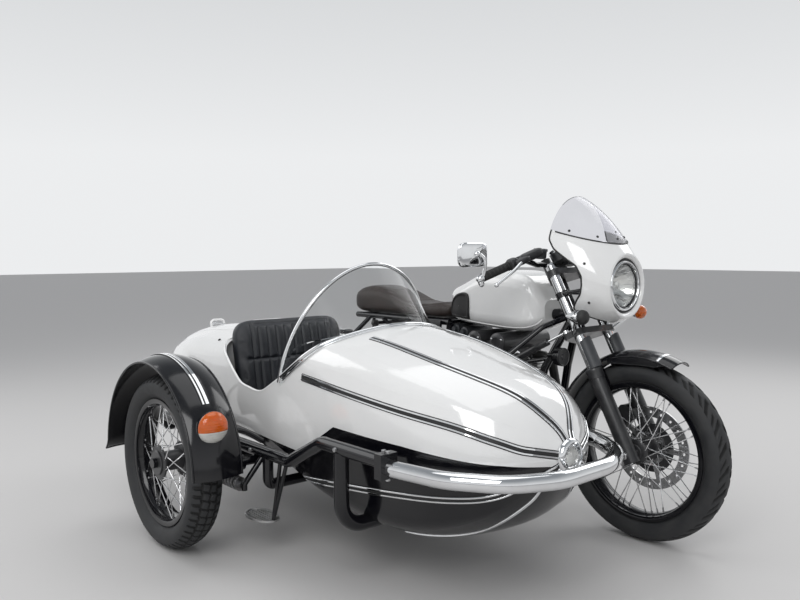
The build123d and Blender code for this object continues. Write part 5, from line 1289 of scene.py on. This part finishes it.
rider_seat = make_piece("rider_seat", [rider_grid], brown_leather, sharp=180)
stuffed(rider_seat, 5, rider_seams)
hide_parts("seat")
dress(black_enamel, "side_panels")
panel_screws = np.array(
    [(x, hand * 125.5, z) for hand in (-1, 1) for x, z in ((392, 600), (505, 640), (400, 730))]
)
make_piece("side_panel_screws", studs(panel_screws, np.sign(panel_screws * (0, 1, 0)), 6, 3), bright_steel)

# Engine: a black-painted parallel twin, with bolted covers on both sides, round caps on the cam
# boxes and bell-topped carburettors.
dress(black_alloy, "crankcase", "cylinders", "cylinder_head")
dress(cast_alloy, "carburettors")
side_cover = [(4, -3), (3, -14), (1, -16)]
cam_cap = [(-1, 41), (4, 40), (8, 33), (9, 22), (7, 20), (7, 0)]
carburettor_top = [(0, 30), (10, 30), (20, 24), (24, 12), (25, 0)]
covers, bolts = [], []
for hand, x, size, face in ((-1, 800, 92, 174), (1, 830, 88, 170)):
    outer_part = [(-2, size), (2, size), *[(height, size + inset) for height, inset in side_cover]]
    inner_part = [(1, 34), (5, 32), (8, 26), (8, 0)]
    covers.append(turned(outer_part + inner_part, (x, hand * face, 350), hand * leftward, 72))
    ring = (size - 8) * hooped(np.arange(9) * 40 + 12)
    bolts += [(place, hand * leftward) for place in np.array([x, hand * (face + 2.5), 350]) + ring]
for hand in (-1, 1):
    for x in (776, 904):
        covers.append(turned(cam_cap, (x, hand * 145, 690), hand * leftward, 56))
        ring = 30 * hooped(np.degrees((0.5, 2.6, 4.7)))
        bolts += [(place, hand * leftward) for place in np.array([x, hand * 152.5, 690]) + ring]
    covers.append(turned(carburettor_top, (695, hand * 62, 668), skyward, 40))
make_piece("engine_covers", covers, black_alloy)
make_piece("engine_bolts", studs(*zip(*bolts), 5, 4), bright_steel)
mounts = [((978, hand * 38, 420), forward) for hand in (-1, 1, -1, 1)]
mounts += [((x, -132, 462), -leftward) for x in (720, 900)]
make_piece("mount_bolts", studs(*zip(*mounts), 9, 7), bright_steel)

# Ignition coils: two black cylinders on the frame under the back of the tank.
coil_can = [(-96, 0), (-96, 11), (-82, 13), (-80, 22), (80, 22), (82, 13), (96, 11), (96, 0)]
coil_cans = [turned(coil_can, (x, 0, z), leftward, 32) for x, z in ((598, 722), (650, 712))]
make_piece("ignition_coils", coil_cans, cover_plastic)

# Exhausts: two headers and long silencers in a black heat-proof finish, with bright port collars,
# clamps and end rings.
heat_black = finish(
    "heat_black", (0.012, 0.012, 0.012), (0.03, 0.028, 0.026), (0.38, 0.55), 10, 380, (0.2, 0.0006)
)
dress(heat_black, "exhausts")
pipe_way = unit((-630, 0, 60))
port_collar = [(0, 20), (0, 28), (7, 28), (9, 25), (9, 20)]
pipe_clamp = [(118, 42.5), (118, 45), (128, 45.5), (130, 43)]
end_ring = [(632, 34.5), (634, 36), (641, 35), (642, 30), (634, 28)]
collars = []
for hand in (-1, 1):
    collars.append(turned(port_collar, (930, hand * 62, 625), forward, 40))
    silencer_start = np.array([478.0, hand * 208, 238])
    collars += [turned(ring, silencer_start, pipe_way, 48) for ring in (pipe_clamp, end_ring)]
make_piece("exhaust_collars", collars, chrome)

# Frame, swinging arm and small fittings: black enamel over welded steel tube, with ribbed
# footrest rubbers and a ringed horn.
dress(black_enamel, "main_frame", "swingarm", "rear_mudguard", "horn")
dress(black_alloy, "footrests")
rest_run = np.linspace(0, 118, 60)
rest_profile = [(0, 9), (0, 15), *[(d, 13.5 + 1.2 * np.sign(np.cos(d * 0.75))) for d in rest_run[2:-2]],
                (118, 15), (118, 0)]
rests = [turned(rest_profile, (478, hand * 172, 302.7), (0, hand, -0.015), 32) for hand in (-1, 1)]
make_piece("footrest_rubbers", rests, insert_rubber)
horn_rim = [(-2, 36.5), (3, 36.5), (4, 33), (1, 30), (0, 12), (3, 10), (3, 0)]
make_piece("horn_face", [turned(horn_rim, (1182, -72, 652), forward, 48)], black_alloy)

# Rear suspension: two chromed coil springs over black dampers, on eyes at frame and arm.
coils, dampers = [], []
eye_tube = [(-11, 8.2), (-11, 16), (11, 16), (11, 8.2), (-11, 8.2)]
eye_nut = [(11, 0), (11, 12), (16, 12), (18, 9), (18, 0)]
for hand in (-1, 1):
    low, high = np.array([38.0, hand * 147, 346]), np.array([110.0, hand * 147, 720])
    way = unit(high - low)
    span = np.linalg.norm(high - low)
    wind = np.linspace(0, 2 * np.pi * 11, 420)
    climb = 72 + (span - 130) * wind / wind[-1]
    winding = 24 * swung(wind, leftward, np.cross(leftward, way))
    coils.append(carried(low + climb[:, None] * way + winding, 3.9, 8))
    damper = [(14, 0), (14, 12), (60, 14), (62, 27), (70, 27), (70, 15), (span - 110, 15), (span - 110, 7),
              (span - 58, 7), (span - 56, 27), (span - 44, 27), (span - 40, 14), (span - 14, 12),
              (span - 14, 0)]
    dampers.append(turned(damper, low, way, 32))
    for eye in (low, high):
        dampers += [turned(eye_tube, eye, leftward, 32), turned(eye_nut, eye, hand * leftward, 6)]
springs = make_piece("rear_springs", coils, chrome)
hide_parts("rear_shocks")
make_piece("rear_dampers", dampers, black_alloy)

# Final drive: a roller chain of side plates and rollers over two toothed sprockets. The chain's
# line is laid out in its own plane, as pairs of a place forward and a height.
rear_hub, gearbox = np.array([0.0, 320.0]), np.array([630.0, 345.0])
big, small = 108.7, 43.0
chain_y, chain_pitch = -84, 15.875
gap = np.linalg.norm(gearbox - rear_hub)
lead = (gearbox - rear_hub) / gap
tilt = np.arccos((big - small) / gap)
start_angle = np.arctan2(lead[1], lead[0])
turns_big = np.linspace(start_angle + tilt, start_angle + 2 * np.pi - tilt, 120)
turns_small = np.linspace(start_angle - tilt, start_angle + tilt, 60)
loop_line = np.concatenate([
    rear_hub + big * swung(turns_big, *np.eye(2)), gearbox + small * swung(turns_small, *np.eye(2)),
])
loop_line = np.concatenate([loop_line, loop_line[:1]])
run = np.linalg.norm(np.diff(loop_line, axis=0), axis=1).sum()
links = 2 * int(round(run / chain_pitch / 2))
pins = evenly(loop_line, links + 1)


def on_chain(line, offset):
    """Places of a line in the chain's plane, at an offset to its side."""
    return np.stack([line[:, 0], np.full(len(line), chain_y + offset), line[:, 1]], -1)


plate_turn = np.linspace(0, 2 * np.pi, 15)
reach = np.cos(plate_turn)
waist = 6 * np.sin(plate_turn) * (1 - 0.25 * (1 - np.abs(reach)))
roller = [(-7.6, 0), (-7.6, 2.6), (-4, 2.6), (-4, 5), (4, 5), (4, 2.6), (7.6, 2.6), (7.6, 0)]
chain = []
for k, (first, last) in enumerate(zip(pins, pins[1:])):
    mid, half_way = (first + last) / 2, (last - first) / 2
    ahead_way = unit(half_way)
    cross_way = np.array([-ahead_way[1], ahead_way[0]])
    long = np.sign(reach) * np.abs(reach) ** 0.7 * (np.linalg.norm(half_way) + 6)
    rim_line = mid + long[:, None] * ahead_way + waist[:, None] * cross_way
    mid_line = mid + 0 * rim_line
    off = 6.6 if k % 2 else 4.6
    for hand in (-1, 1):
        plate_rings = ((off - 0.8, mid_line), (off - 0.8, rim_line), (off + 0.8, rim_line),
                       (off + 0.8, mid_line))
        chain.append(np.stack([on_chain(line, hand * offset) for offset, line in plate_rings]))
    chain.append(turned(roller, (first[0], chain_y, first[1]), leftward, 8))
chain_piece = make_piece("roller_chain", chain, spring_steel, sharp=30)
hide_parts("drive_chain")
for name, (x, z), pitch, teeth, hole, body in (
    ("rear_sprocket", rear_hub, big, 43, 40, "rear_wheel_set"),
    ("gearbox_sprocket", gearbox, small, 17, 8, "machine"),
):
    tooth_turn = np.linspace(0, 2 * np.pi, teeth * 8 + 1)
    wave = pitch - 1.2 + 4.4 * np.clip(np.cos(teeth * tooth_turn) * 1.5, -1, 1)
    bore = np.full_like(wave, hole)
    sprocket_rings = ((-3, bore), (-3, wave - 2), (-1.5, wave), (1.5, wave), (3, wave - 2), (3, bore),
                      (-3, bore))
    tooth_way = swung(tooth_turn, forward, skyward)
    sprocket = np.stack([(x, chain_y + y, z) + size[:, None] * tooth_way for y, size in sprocket_rings])
    make_piece(name, [sprocket], bright_steel, body, sharp=30)

# Tail: a red lens in a black housing on the mudguard.
red_glass = finish(
    "red_glass", (0.6, 0.01, 0.01), (0.5, 0.01, 0.01), (0.05, 0.15), 30, 120, (0.4, 0.0015), IOR=1.35,
    Transmission_Weight=0.3, Coat_Weight=1.0, slot="lamp_lens",
)
tail_axes = (leftward, skyward, -forward)
tail_form = cushion((-384, 0, 612), *tail_axes, (47, 32, 18), 0.5, 0.5, 60, 24)
tail_lens = make_piece("tail_lens", [tail_form], red_glass)
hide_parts("tail_lamp")
housing_form = cushion((-348, 0, 612), *tail_axes, (51, 36, 44), 0.5, 0.35, 60, 24)
make_piece("tail_housing", [housing_form], black_enamel)
